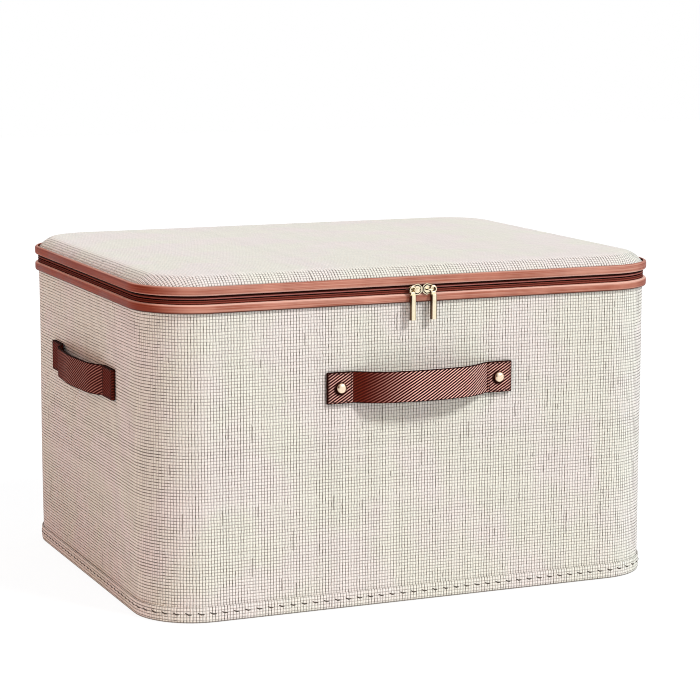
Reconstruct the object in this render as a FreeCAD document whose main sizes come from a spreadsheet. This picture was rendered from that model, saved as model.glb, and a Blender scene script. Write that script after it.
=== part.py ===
import FreeCAD, Part
import math
import os
import Sketcher

os.makedirs("parts", exist_ok=True)
document = FreeCAD.newDocument("storage_box")

# Driving dimensions in millimetres
SIZES = {
    "box_width": 498,
    "box_depth": 398,
    "box_height": 304,
    "corner_radius": 55,
    "layer_gap": 0.2,
    "cover_thickness": 1,
    "board_thickness": 2.2,
    "lining_thickness": 0.6,
    "base_cover_thickness": 1.2,
    "base_board_thickness": 3,
    "base_lining_thickness": 0.8,
    "hem_height": 14,
    "hem_thickness": 1.8,
    "hem_lift": 0.4,
    "hem_bevel": 0.8,
    "lid_drop": 21.25,
    "zip_recess": 7.5,
    "binding_height": 8,
    "binding_thickness": 2.75,
    "binding_bevel": 0.8,
    "wall_drop": 1,
    "board_drop": 2,
    "lining_drop": 1.5,
    "tape_thickness": 0.55,
    "tape_seat": 0.05,
    "tape_width": 9.3,
    "tape_slot": 0.9,
    "coil_slot": 1,
    "coil_height": 2.5,
    "coil_thickness": 1.8,
    "hinge_strip_half_width": 165,
    "hinge_strip_height": 15.5,
    "hinge_strip_gap": 1,
    "cut_margin": 1,
    "lid_skirt_lift": 0.7,
    "lid_edge_radius": 12.6,
    "lid_board_thickness": 2.8,
    "strap_width": 28,
    "strap_thickness": 2,
    "strap_seat": 0.1,
    "fold_rounding": 1.8,
    "foot_radius": 14,
    "shoulder_radius": 40,
    "crown_radius": 200,
    "front_strap_drop": 83.45,
    "front_strap_half_length": 89.5,
    "front_tab_length": 23.5,
    "front_rise": 22,
    "front_shoulder": 16,
    "front_bow": 22,
    "side_strap_drop": 86.6,
    "side_strap_half_length": 94.3,
    "side_tab_length": 27,
    "side_rise": 15,
    "side_shoulder": 11,
    "side_bow": 15,
    "rivet_place": 77,
    "rivet_head_radius": 4.8,
    "rivet_head_height": 3.4,
    "rivet_edge_height": 1,
    "rivet_slope_radius": 3.9,
    "rivet_slope_height": 2.6,
    "rivet_crown_radius": 2.3,
    "rivet_shank_radius": 1.5,
    "rivet_hole_gap": 0.1,
    "washer_radius": 5,
    "washer_thickness": 1,
    "slider_lift": 0.3,
    "slider_plate_thickness": 1.2,
    "slider_nose_gap": 0.3,
    "slider_length": 12.4,
    "slider_half_height": 5.2,
    "slider_tail_half_height": 2.6,
    "slider_shoulder": 4,
    "slider_rounding": 1,
    "slider_post_start": 1.2,
    "slider_post_length": 4,
    "slider_post_half_height": 0.4,
    "slider_back_thickness": 0.9,
    "slider_back_gap": 0.3,
    "slider_back_drop": 3.2,
    "bail_start": 3.2,
    "pull_place": 10,
    "bail_half_thickness": 0.8,
    "bail_reach": 3.4,
    "bail_bend_radius": 2,
    "pull_gap": 0.3,
    "pull_eye_radius": 3.6,
    "pull_hole_radius": 1.6,
    "pull_eye_thickness": 2,
    "pull_bar_half_width": 2.3,
    "pull_bar_thickness": 3.8,
    "pull_bar_start": 4.6,
    "pull_neck_overlap": 1,
    "pull_neck_clearance": 0.4,
    "pull_length": 26.8,
    "pull_rounding": 0.8,
    "pull_edge_bevel": 0.5,
}

sheet = document.addObject("Spreadsheet::Sheet", "sizes")
for row, (alias, size) in enumerate(SIZES.items(), start=1):
    sheet.set(f"A{row}", alias)
    sheet.set(f"B{row}", str(size))
    sheet.setAlias(f"B{row}", alias)
document.recompute()

nodes = []

# How far a face may lie off a height and still count as lying on it
TOUCH = 0.001


# Helpers for bodies, sketches and features

def number(expression):
    """The number that an expression of the sheet's sizes gives."""
    return float(sheet.evalExpression(expression))


def new_body(label):
    body = document.addObject("PartDesign::Body", label)
    body.Label = label
    return body


def keep(piece):
    """Hand a finished piece on to be checked and written."""
    nodes.append(piece)
    return piece


def sketch_on(body, role, name, height="0"):
    """An empty sketch on one of the body's origin planes, raised along its normal."""
    plane = [item for item in body.Origin.OriginFeatures if item.Role == role][0]
    sketch = body.newObject("Sketcher::SketchObject", name)
    sketch.AttachmentSupport = (plane, [""])
    sketch.MapMode = "FlatFace"
    sketch.setExpression("AttachmentOffset.Base.z", height)
    return sketch


def bind(sketch, kind, places, expression):
    """A dimension of the sketch, driven by an expression."""
    index = sketch.addConstraint(Sketcher.Constraint(kind, *places, number(expression)))
    name = f"size_{index}"
    sketch.renameConstraint(index, name)
    sketch.setExpression(f"Constraints.{name}", expression)


def place_point(sketch, geometry, end, x, y):
    bind(sketch, "DistanceX", (-1, 1, geometry, end), x)
    bind(sketch, "DistanceY", (-1, 1, geometry, end), y)


def rounded_corner(before, corner, after, radius):
    """Where the arc in a corner starts and ends, its centre, and whether it turns left."""
    back = (before - corner).normalize()
    ahead = (after - corner).normalize()
    half_angle = back.getAngle(ahead) / 2
    reach = radius / math.tan(half_angle)
    middle = (back + ahead).normalize()
    centre = corner + middle * (radius / math.sin(half_angle))
    turns_left = back.cross(ahead).z < 0
    return corner + back * reach, corner + ahead * reach, centre, turns_left


def outline(sketch, corners, closed=True):
    """Straight runs from corner to corner, each corner (x, y, radius) rounded by an arc."""
    points = [FreeCAD.Vector(number(x), number(y), 0) for x, y, radius in corners]
    count = len(corners)
    runs = count if closed else count - 1
    rounded = {}
    for i in range(count):
        inner = closed or 0 < i < count - 1
        if inner and number(corners[i][2]) > 0:
            after = points[(i + 1) % count]
            rounded[i] = rounded_corner(points[i - 1], points[i], after, number(corners[i][2]))
    lines = []
    for i in range(runs):
        following = (i + 1) % count
        start = rounded[i][1] if i in rounded else points[i]
        stop = rounded[following][0] if following in rounded else points[following]
        lines.append(sketch.addGeometry(Part.LineSegment(start, stop), False))
    for i, (x, y, radius) in enumerate(corners):
        if i in rounded:
            start, stop, centre, turns_left = rounded[i]
            if not turns_left:
                start, stop = stop, start
            circle = Part.Circle(centre, FreeCAD.Vector(0, 0, 1), number(radius))
            arc = sketch.addGeometry(Part.ArcOfCircle(circle, circle.parameter(start),
                                                      circle.parameter(stop)), False)
            entry, leave = (1, 2) if turns_left else (2, 1)
            sketch.addConstraint(Sketcher.Constraint("Tangent", lines[i - 1], 2, arc, entry))
            sketch.addConstraint(Sketcher.Constraint("Tangent", arc, leave, lines[i], 1))
            bind(sketch, "Radius", (arc,), radius)
            mark = sketch.addGeometry(Part.Point(points[i]), True)
            sketch.addConstraint(Sketcher.Constraint("PointOnObject", mark, 1, lines[i - 1]))
            sketch.addConstraint(Sketcher.Constraint("PointOnObject", mark, 1, lines[i]))
            place_point(sketch, mark, 1, x, y)
        elif closed or 0 < i < count - 1:
            sketch.addConstraint(Sketcher.Constraint("Coincident", lines[i - 1], 2, lines[i], 1))
            place_point(sketch, lines[i], 1, x, y)
        elif i == 0:
            place_point(sketch, lines[0], 1, x, y)
        else:
            place_point(sketch, lines[-1], 2, x, y)


def circle_at(sketch, x, y, radius):
    centre = FreeCAD.Vector(number(x), number(y), 0)
    ring = sketch.addGeometry(Part.Circle(centre, FreeCAD.Vector(0, 0, 1), number(radius)), False)
    bind(sketch, "Radius", (ring,), radius)
    place_point(sketch, ring, 3, x, y)


def pad(body, sketch, length):
    feature = body.newObject("PartDesign::Pad", body.Name + "_pad")
    feature.Profile = sketch
    feature.setExpression("Length", length)
    sketch.Visibility = False
    document.recompute()
    return feature


def pocket(body, sketch, depth):
    """A cut against the sketch's normal, which has to take material away."""
    before = body.Shape.Volume
    feature = body.newObject("PartDesign::Pocket", body.Name + "_pocket")
    feature.Profile = sketch
    feature.setExpression("Length", depth)
    document.recompute()
    if body.Shape.Volume >= before:
        raise ValueError(body.Label + ": the pocket cuts nothing")
    return feature


def dress(body, feature, kind, size, chosen):
    """A Fillet or Chamfer on the edges of a feature that the test picks."""
    names = [f"Edge{i}" for i, edge in enumerate(feature.Shape.Edges, start=1) if chosen(edge)]
    dressed = body.newObject("PartDesign::" + kind, body.Name + "_" + kind.lower())
    dressed.Base = (feature, names)
    dressed.setExpression("Radius" if kind == "Fillet" else "Size", size)
    document.recompute()
    return dressed


def level(edge, height):
    """Whether an edge lies flat at a height."""
    box = edge.BoundBox
    return abs(box.ZMin - height) < TOUCH and abs(box.ZMax - height) < TOUCH


# Plan of the box, its levels and its layers, counted outwards from the fabric

def plan(out):
    """Corners of the box's plan, moved outwards."""
    x = f"(sizes.box_width / 2 + ({out}))"
    y = f"(sizes.box_depth / 2 + ({out}))"
    radius = f"(sizes.corner_radius + ({out}))"
    return [("-" + x, "-" + y, radius), (x, "-" + y, radius), (x, y, radius), ("-" + x, y, radius)]


zip_height = "(sizes.box_height - sizes.lid_drop)"
front_strap_height = f"({zip_height} - sizes.front_strap_drop)"
side_strap_height = f"({zip_height} - sizes.side_strap_drop)"
cover_inside = "-sizes.cover_thickness"
board_outside = f"({cover_inside} - sizes.layer_gap)"
board_inside = f"({board_outside} - sizes.board_thickness)"
lining_outside = f"({board_inside} - sizes.layer_gap)"
lining_inside = f"({lining_outside} - sizes.lining_thickness)"
base_edge = f"({lining_inside} - sizes.layer_gap)"
wall_foot = "(sizes.base_cover_thickness + sizes.layer_gap)"
base_board_top = f"({wall_foot} + sizes.base_board_thickness)"
base_lining_foot = f"({base_board_top} + sizes.layer_gap)"
recess_low = f"({zip_height} - sizes.zip_recess / 2)"
recess_high = f"({zip_height} + sizes.zip_recess / 2)"
wall_top = f"({recess_low} - sizes.wall_drop)"
board_top = f"({recess_low} - sizes.board_drop)"
lining_top = f"({recess_low} - sizes.lining_drop)"
tape_outside = "(sizes.tape_seat + sizes.tape_thickness)"
binding_inside = f"({tape_outside} + sizes.tape_seat)"
binding_outside = f"({binding_inside} + sizes.binding_thickness)"
tape_low_top = f"({zip_height} - sizes.tape_slot / 2)"
tape_high_foot = f"({zip_height} + sizes.tape_slot / 2)"
coil_low_top = f"({zip_height} - sizes.coil_slot / 2)"
coil_high_foot = f"({zip_height} + sizes.coil_slot / 2)"


def ring(label, outside, inside, foot, top):
    """A band round the whole box."""
    body = new_body(label)
    sketch = sketch_on(body, "XY_Plane", label + "_plan", foot)
    outline(sketch, plan(outside))
    outline(sketch, plan(inside))
    return body, pad(body, sketch, f"{top} - {foot}")


def slab(label, edge, foot, top):
    """A flat piece over the whole plan."""
    body = new_body(label)
    sketch = sketch_on(body, "XY_Plane", label + "_plan", foot)
    outline(sketch, plan(edge))
    return body, pad(body, sketch, f"{top} - {foot}")


def bevel_outer_edges(body, feature, out, size):
    """Bevel the outer upper and lower edges of a ring."""
    box = feature.Shape.BoundBox
    reach = number(f"sizes.box_width / 2 + ({out})")
    straight = number("sizes.box_depth - 2 * sizes.corner_radius")

    def chosen(edge):
        flat = level(edge, box.ZMin) or level(edge, box.ZMax)
        spread = edge.BoundBox
        return flat and spread.XMax > reach - TOUCH and spread.YLength > straight - TOUCH

    return dress(body, feature, "Chamfer", size, chosen)


# Walls: woven cover, stiff board and lining, pierced for the front handle's rivets

def pierce_front(body, outside, depth):
    """Two holes in the front wall for the rivets' shanks."""
    sketch = sketch_on(body, "XZ_Plane", body.Name + "_holes", f"sizes.box_depth / 2 + ({outside})")
    for side in ("", "-"):
        circle_at(sketch, side + "sizes.rivet_place", front_strap_height,
                  "sizes.rivet_shank_radius + sizes.rivet_hole_gap")
    pocket(body, sketch, depth)


body, feature = ring("wall_cover", "0", cover_inside, wall_foot, wall_top)
pierce_front(body, "0", "sizes.cover_thickness + sizes.layer_gap")
keep(body)
body, feature = ring("wall_board", board_outside, board_inside, wall_foot, board_top)
pierce_front(body, board_outside, "sizes.board_thickness + sizes.layer_gap")
keep(body)
body, feature = ring("wall_lining", lining_outside, lining_inside, wall_foot, lining_top)
pierce_front(body, lining_outside, "sizes.lining_thickness + sizes.layer_gap")
keep(body)

# Base: cover that rests on the floor, stiff board and lining

body, feature = slab("base_cover", "0", "0", "sizes.base_cover_thickness")
keep(body)
body, feature = slab("base_board", base_edge, wall_foot, base_board_top)
keep(body)
body, feature = slab("base_lining", base_edge, base_lining_foot,
                     f"({base_lining_foot} + sizes.base_lining_thickness)")
keep(body)

# Bottom hem: turned fabric that stands a little proud of the wall

hem_outside = "(sizes.tape_seat + sizes.hem_thickness)"
body, feature = ring("bottom_hem", hem_outside, "sizes.tape_seat", "sizes.hem_lift",
                     "(sizes.hem_lift + sizes.hem_height)")
bevel_outer_edges(body, feature, hem_outside, "sizes.hem_bevel")
keep(body)

# Bindings: leather-like bands below and above the zip, with bevelled edges

for label, foot, top in (("lower_binding", f"({recess_low} - sizes.binding_height)", recess_low),
                         ("upper_binding", recess_high, f"({recess_high} + sizes.binding_height)")):
    body, feature = ring(label, binding_outside, binding_inside, foot, top)
    bevel_outer_edges(body, feature, binding_outside, "sizes.binding_bevel")
    keep(body)

# Zip tapes and coils: they run round the front, sides and back corners

strip_gap = "(sizes.hinge_strip_half_width + sizes.hinge_strip_gap)"


def open_back(body, outside, foot, top):
    """Cut a ring away where the hinge strip takes its place."""
    sketch = sketch_on(body, "XY_Plane", body.Name + "_back_gap", top)
    low = "(sizes.box_depth / 2 - sizes.corner_radius / 2)"
    high = f"(sizes.box_depth / 2 + {outside} + sizes.cut_margin)"
    outline(sketch, [("-" + strip_gap, low, "0"), (strip_gap, low, "0"),
                     (strip_gap, high, "0"), ("-" + strip_gap, high, "0")])
    pocket(body, sketch, f"{top} - {foot}")


zip_rings = (
    ("zip_tape_lower", tape_outside, "sizes.tape_seat",
     f"({tape_low_top} - sizes.tape_width)", tape_low_top),
    ("zip_tape_upper", tape_outside, "sizes.tape_seat",
     tape_high_foot, f"({tape_high_foot} + sizes.tape_width)"),
    ("zip_coil_lower", "0", "-sizes.coil_thickness",
     f"({coil_low_top} - sizes.coil_height)", coil_low_top),
    ("zip_coil_upper", "0", "-sizes.coil_thickness",
     coil_high_foot, f"({coil_high_foot} + sizes.coil_height)"),
)
for label, outside, inside, foot, top in zip_rings:
    body, feature = ring(label, outside, inside, foot, top)
    open_back(body, outside, foot, top)
    keep(body)

# Hinge strip: cloth across the back, where the lid bends

hinge_strip = new_body("hinge_strip")
sketch = sketch_on(hinge_strip, "XY_Plane", "hinge_strip_plan",
                   f"{zip_height} - sizes.hinge_strip_height / 2")
near = "(sizes.box_depth / 2 + sizes.tape_seat)"
far = f"(sizes.box_depth / 2 + {tape_outside})"
outline(sketch, [("-sizes.hinge_strip_half_width", near, "0"),
                 ("sizes.hinge_strip_half_width", near, "0"),
                 ("sizes.hinge_strip_half_width", far, "0"),
                 ("-sizes.hinge_strip_half_width", far, "0")])
pad(hinge_strip, sketch, "sizes.hinge_strip_height")
keep(hinge_strip)

# Lid: filled cover with a rounded edge, thicker there, over foam, board and lining

lid_foot = f"({recess_high} + sizes.lid_skirt_lift)"


def dressed_slab(label, edge, foot, top, kind, size):
    """A slab with its upper edge rounded or bevelled all round."""
    body, feature = slab(label, edge, foot, top)
    height = number(top)
    dress(body, feature, kind, size, lambda edge: level(edge, height))
    return body


lid_outer = dressed_slab("lid_outer_form", "0", lid_foot, "sizes.box_height", "Fillet",
                         "sizes.lid_edge_radius")
lid_inner = dressed_slab("lid_inner_form", cover_inside, f"({lid_foot} - sizes.cut_margin)",
                         "(sizes.box_height - sizes.cover_thickness)", "Chamfer",
                         "(sizes.lid_edge_radius - sizes.cover_thickness)")
lid_cover = document.addObject("Part::Cut", "lid_cover")
lid_cover.Base = lid_outer
lid_cover.Tool = lid_inner
keep(lid_cover)

lid_lining_foot = f"({lid_foot} + sizes.layer_gap)"
lid_board_foot = f"({lid_lining_foot} + sizes.lining_thickness + sizes.layer_gap)"
lid_board_top = f"({lid_board_foot} + sizes.lid_board_thickness)"
foam_foot = f"({lid_board_top} + sizes.layer_gap)"
body, feature = slab("lid_lining", board_outside, lid_lining_foot,
                     f"({lid_lining_foot} + sizes.lining_thickness)")
keep(body)
body, feature = slab("lid_board", board_outside, lid_board_foot, lid_board_top)
keep(body)

foam_form = dressed_slab("lid_foam_form", board_outside, lid_foot,
                         "(sizes.box_height - sizes.cover_thickness - sizes.layer_gap)", "Chamfer",
                         "(sizes.lid_edge_radius - sizes.cover_thickness - sizes.layer_gap)")
foam_cut, feature = slab("lid_foam_cut", "sizes.cut_margin", f"({lid_foot} - sizes.cut_margin)",
                         foam_foot)
lid_foam = document.addObject("Part::Cut", "lid_foam")
lid_foam.Base = foam_form
lid_foam.Tool = foam_cut
keep(lid_foam)


# Handle straps: webbing folded flat at both ends and bowed between them

def front_place(along, out):
    return along, f"-(sizes.box_depth / 2 + {out})"


def left_place(along, out):
    return f"-(sizes.box_width / 2 + {out})", along


def right_place(along, out):
    return f"(sizes.box_width / 2 + {out})", along


def strap(label, place, kind, height, profile_plane, profile_side):
    """A strap whose sizes start with the word kind, on the wall that place gives."""
    half_length = f"sizes.{kind}_strap_half_length"
    tab_end = f"({half_length} - sizes.{kind}_tab_length)"
    shoulder = f"({tab_end} - sizes.{kind}_rise)"
    seat = "(sizes.strap_seat + sizes.strap_thickness / 2)"
    low = f"({height} - sizes.strap_width / 2)"
    body = new_body(label)
    route = sketch_on(body, "XY_Plane", label + "_route", height)
    halves = [(f"({half_length} - sizes.fold_rounding)", seat, "0"),
              (tab_end, seat, "sizes.foot_radius"),
              (shoulder, f"sizes.{kind}_shoulder", "sizes.shoulder_radius")]
    points = [(*place("-" + along, out), radius) for along, out, radius in halves]
    points.append((*place("0", f"sizes.{kind}_bow"), "sizes.crown_radius"))
    points += [(*place(along, out), radius) for along, out, radius in reversed(halves)]
    outline(route, points, closed=False)
    start = f"({half_length} - sizes.fold_rounding)"
    section = sketch_on(body, profile_plane, label + "_section",
                        start if profile_plane == "XZ_Plane" else "-" + start)
    inner = place("0", "sizes.strap_seat")[profile_side]
    outer = place("0", "(sizes.strap_seat + sizes.strap_thickness)")[profile_side]
    high = f"({low} + sizes.strap_width)"
    outline(section, [(inner, low, "0"), (outer, low, "0"), (outer, high, "0"), (inner, high, "0")])
    pipe = body.newObject("PartDesign::AdditivePipe", label + "_bow")
    pipe.Profile = section
    pipe.Spine = (route, [])
    document.recompute()
    folded = "(sizes.strap_seat + 2 * sizes.strap_thickness)"
    for side in ("-", ""):
        tab = sketch_on(body, "XY_Plane", label + "_tab", low)
        outline(tab, [(*place(side + half_length, "sizes.strap_seat"), "sizes.fold_rounding"),
                      (*place(side + tab_end, "sizes.strap_seat"), "0"),
                      (*place(side + tab_end, folded), "0"),
                      (*place(side + half_length, folded), "sizes.fold_rounding")])
        pad(body, tab, "sizes.strap_width")
    return body


front_strap = strap("front_handle_strap", front_place, "front", front_strap_height,
                    "YZ_Plane", 1)
folded_face = "(sizes.strap_seat + 2 * sizes.strap_thickness)"
pierce_front(front_strap, folded_face, f"{folded_face} + sizes.cut_margin")
keep(front_strap)
keep(strap("left_handle_strap", left_place, "side", side_strap_height, "XZ_Plane", 0))
keep(strap("right_handle_strap", right_place, "side", side_strap_height, "XZ_Plane", 0))


# Rivets: crowned heads with shanks through the wall, and washers inside

def turned(label, section):
    """A body turned about an axis that points out of the front wall."""
    body = new_body(label)
    sketch = sketch_on(body, "XY_Plane", label + "_section", front_strap_height)
    sketch.setExpression("AttachmentOffset.Base.x", "sizes.rivet_place")
    outline(sketch, section)
    feature = body.newObject("PartDesign::Revolution", label + "_turning")
    feature.Profile = sketch
    feature.ReferenceAxis = (sketch, ["V_Axis"])
    feature.Angle = 360
    document.recompute()
    return body


def pair(label, single):
    """The piece and its mirror image across the middle of the box, as one group."""
    other = document.addObject("Part::Mirroring", label + "_other")
    other.Source = single
    other.Normal = FreeCAD.Vector(1, 0, 0)
    group = document.addObject("Part::Compound", label)
    group.Links = [single, other]
    return keep(group)


def outwards(out):
    return f"-(sizes.box_depth / 2 + {out})"


head_seat = f"({folded_face} + sizes.tape_seat)"
head_top = f"({head_seat} + sizes.rivet_head_height)"
washer_seat = f"({lining_inside} - sizes.tape_seat)"
washer_end = f"({washer_seat} - sizes.washer_thickness)"
rivet = turned("rivet", [
    ("0", outwards(head_top), "0"),
    ("0", outwards(washer_end), "0"),
    ("sizes.rivet_shank_radius", outwards(washer_end), "0"),
    ("sizes.rivet_shank_radius", outwards(head_seat), "0"),
    ("sizes.rivet_head_radius", outwards(head_seat), "0"),
    ("sizes.rivet_head_radius", outwards(f"({head_seat} + sizes.rivet_edge_height)"), "0"),
    ("sizes.rivet_slope_radius", outwards(f"({head_seat} + sizes.rivet_slope_height)"), "0"),
    ("sizes.rivet_crown_radius", outwards(head_top), "0"),
])
pair("front_rivets", rivet)
washer_hole = "(sizes.rivet_shank_radius + sizes.rivet_hole_gap)"
washer = turned("rivet_washer", [
    (washer_hole, outwards(washer_seat), "0"),
    (washer_hole, outwards(washer_end), "0"),
    ("sizes.washer_radius", outwards(washer_end), "0"),
    ("sizes.washer_radius", outwards(washer_seat), "0"),
])
pair("front_rivet_washers", washer)

# Right slider: shield plate over the bindings, post through the chain and inner plate

plate_inside = f"({binding_outside} + sizes.slider_lift)"
plate_outside = f"({plate_inside} + sizes.slider_plate_thickness)"
back_outside = "(-sizes.coil_thickness - sizes.slider_back_gap)"
back_inside = f"({back_outside} - sizes.slider_back_thickness)"


def front_pad(body, name, corners, inside, outside):
    """A pad that stands on the front wall's plane and grows outwards."""
    sketch = sketch_on(body, "XZ_Plane", name, f"sizes.box_depth / 2 + {inside}")
    outline(sketch, corners)
    return pad(body, sketch, f"{outside} - {inside}")


def off_zip(height):
    return f"({zip_height} + {height})"


slider_end = "(sizes.slider_nose_gap + sizes.slider_length)"
slider = new_body("right_slider_body")
post_end = "(sizes.slider_post_start + sizes.slider_post_length)"
front_pad(slider, "slider_post", [
    ("sizes.slider_post_start", off_zip("-sizes.slider_post_half_height"), "0"),
    (post_end, off_zip("-sizes.slider_post_half_height"), "0"),
    (post_end, off_zip("sizes.slider_post_half_height"), "0"),
    ("sizes.slider_post_start", off_zip("sizes.slider_post_half_height"), "0"),
], back_inside, plate_outside)
front_pad(slider, "slider_inner_plate", [
    ("sizes.slider_nose_gap", off_zip("-sizes.slider_back_drop"), "sizes.slider_rounding"),
    (slider_end, off_zip("-sizes.slider_back_drop"), "sizes.slider_rounding"),
    (slider_end, off_zip("sizes.slider_post_half_height"), "0"),
    ("sizes.slider_nose_gap", off_zip("sizes.slider_post_half_height"), "0"),
], back_inside, back_outside)
shield = front_pad(slider, "slider_shield", [
    ("sizes.slider_nose_gap", off_zip("-sizes.slider_tail_half_height"), "sizes.slider_rounding"),
    ("sizes.slider_shoulder", off_zip("-sizes.slider_half_height"), "sizes.slider_rounding"),
    (slider_end, off_zip("-sizes.slider_tail_half_height"), "sizes.slider_rounding"),
    (slider_end, off_zip("sizes.slider_tail_half_height"), "sizes.slider_rounding"),
    ("sizes.slider_shoulder", off_zip("sizes.slider_half_height"), "sizes.slider_rounding"),
    ("sizes.slider_nose_gap", off_zip("sizes.slider_tail_half_height"), "sizes.slider_rounding"),
], plate_inside, plate_outside)
keep(slider)

# Right bail: a bent bar whose outer leg carries the pull

bail = new_body("right_slider_bail")
bail_top = f"({plate_outside} + sizes.bail_reach)"


def bail_corners(spread, bend):
    """One side of the bent bar, moved outwards from its middle line."""
    left = f"(sizes.bail_start - ({spread}))"
    right = f"(sizes.pull_place + ({spread}))"
    top = outwards(f"({bail_top} + ({spread}))")
    foot = outwards(plate_outside)
    return [(left, foot, "0"), (left, top, bend), (right, top, bend), (right, foot, "0")]


sketch = sketch_on(bail, "XY_Plane", "bail_plan", f"{zip_height} - sizes.bail_half_thickness")
outer_side = bail_corners("sizes.bail_half_thickness", "sizes.bail_bend_radius")
inner_side = bail_corners("-sizes.bail_half_thickness",
                          "(sizes.bail_bend_radius - 2 * sizes.bail_half_thickness)")
outline(sketch, outer_side + inner_side[::-1])
pad(bail, sketch, "2 * sizes.bail_half_thickness")
keep(bail)

# Right pull: an eye round the bail's leg and a square bar that hangs from it

pull = new_body("right_pull")
eye_inside = f"({plate_outside} + sizes.pull_gap)"
eye_outside = f"({eye_inside} + sizes.pull_eye_thickness)"
bar_outside = f"({eye_inside} + sizes.pull_bar_thickness)"
eye = sketch_on(pull, "XZ_Plane", "pull_eye", f"sizes.box_depth / 2 + {eye_inside}")
circle_at(eye, "sizes.pull_place", zip_height, "sizes.pull_eye_radius")
circle_at(eye, "sizes.pull_place", zip_height, "sizes.pull_hole_radius")
pad(pull, eye, "sizes.pull_eye_thickness")
bar_left = "(sizes.pull_place - sizes.pull_bar_half_width)"
bar_right = "(sizes.pull_place + sizes.pull_bar_half_width)"
neck_top = f"({zip_height} - sizes.pull_hole_radius - sizes.pull_neck_clearance)"
neck_foot = f"({zip_height} - sizes.pull_bar_start - sizes.pull_neck_overlap)"
front_pad(pull, "pull_neck", [
    (bar_left, neck_foot, "0"),
    (bar_right, neck_foot, "0"),
    (bar_right, neck_top, "0"),
    (bar_left, neck_top, "0"),
], eye_inside, eye_outside)
bar = front_pad(pull, "pull_bar", [
    (bar_left, f"({zip_height} - sizes.pull_length)", "sizes.pull_rounding"),
    (bar_right, f"({zip_height} - sizes.pull_length)", "sizes.pull_rounding"),
    (bar_right, f"({zip_height} - sizes.pull_bar_start)", "sizes.pull_rounding"),
    (bar_left, f"({zip_height} - sizes.pull_bar_start)", "sizes.pull_rounding"),
], eye_inside, bar_outside)
front_face = -number(f"sizes.box_depth / 2 + {bar_outside}")


def on_bar_face(edge):
    box = edge.BoundBox
    return abs(box.YMin - front_face) < TOUCH and abs(box.YMax - front_face) < TOUCH


dress(pull, bar, "Chamfer", "sizes.pull_edge_bevel", on_bar_face)
keep(pull)

# Left slider, bail and pull: mirror images of the right ones

for piece in (slider, bail, pull):
    left_name = piece.Label.replace("right", "left")
    mirrored = document.addObject("Part::Mirroring", left_name)
    mirrored.Source = piece
    mirrored.Normal = FreeCAD.Vector(1, 0, 0)
    mirrored.Label = left_name
    keep(mirrored)

# Check every object, then write each piece

document.recompute()
for item in document.Objects:
    if "Invalid" in item.State or "Error" in item.State:
        raise ValueError(f"{item.Label} failed: {item.State}")
for piece in nodes:
    if piece.Shape.isNull() or not piece.Shape.isValid():
        raise ValueError(f"{piece.Label} has no valid shape")
for piece in nodes:
    piece.Shape.exportStep(f"parts/{piece.Label}.step")
    print(piece.Label, len(piece.Shape.Solids), round(piece.Shape.Volume))
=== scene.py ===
# %% [markdown]
# A storage box with stiff walls under a coarse cream weave, a padded lid, a zip between two
# leather-like bands, webbing handles and brass fittings. The construction comes from the
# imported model. This lesson dresses it: each soft piece is modelled again with its real edges,
# folds and stitches, and each finish is a node material.

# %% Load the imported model
import math
from collections import namedtuple

import bmesh
import bpy
import numpy as np
from mathutils import Matrix, Vector


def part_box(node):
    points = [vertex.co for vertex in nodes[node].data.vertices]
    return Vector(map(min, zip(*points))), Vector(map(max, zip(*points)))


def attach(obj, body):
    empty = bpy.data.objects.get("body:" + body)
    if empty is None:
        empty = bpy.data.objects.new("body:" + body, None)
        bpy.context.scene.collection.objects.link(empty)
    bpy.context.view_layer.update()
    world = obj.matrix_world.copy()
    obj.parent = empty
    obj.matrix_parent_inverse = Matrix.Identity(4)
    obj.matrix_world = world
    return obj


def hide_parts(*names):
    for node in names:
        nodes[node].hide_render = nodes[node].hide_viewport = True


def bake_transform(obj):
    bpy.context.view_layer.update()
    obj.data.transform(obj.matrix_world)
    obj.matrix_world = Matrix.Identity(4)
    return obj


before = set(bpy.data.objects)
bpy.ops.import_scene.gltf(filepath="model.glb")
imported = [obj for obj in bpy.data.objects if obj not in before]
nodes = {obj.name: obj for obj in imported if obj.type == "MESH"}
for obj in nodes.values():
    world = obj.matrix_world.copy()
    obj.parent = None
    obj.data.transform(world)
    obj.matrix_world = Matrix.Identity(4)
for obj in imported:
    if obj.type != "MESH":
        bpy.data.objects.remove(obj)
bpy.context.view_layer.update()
bpy.ops.object.select_all(action="DESELECT")
MM = 0.001
TINY = 1e-6
HAIR = 0.1 * MM

# %% [markdown]
# Every soft piece follows the box's plan, a rectangle with round corners. One function tells
# how far along the plan a point lies and which way is out there, and the other goes back from
# a length to a point. Each piece could be drawn by itself, but with one shared plan the
# bands, the stitches and the cloth fit each other.

# %% Plan of the box
cover_low, cover_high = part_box("wall_cover")
HALF_X, HALF_Y = cover_high.x, cover_high.y
CORNER = 55 * MM
CORNER_SEGMENTS = 20
CORE_X, CORE_Y = HALF_X - CORNER, HALF_Y - CORNER
HALF_ROUND = 2 * CORE_X + math.pi * CORNER + 2 * CORE_Y


def plan_place(x, y):
    """Arc length from the front middle, positive to the right, and the outward direction."""
    core_x = min(max(x, -CORE_X), CORE_X)
    core_y = min(max(y, -CORE_Y), CORE_Y)
    out = Vector((x - core_x, y - core_y)).normalized()
    turn = math.atan2(out.y, abs(out.x))
    along = abs(core_x) if turn < 0 else 2 * CORE_X - abs(core_x)
    along += CORNER * (turn + math.pi / 2) + core_y + CORE_Y
    return (along if x >= 0 else -along), out


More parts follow.
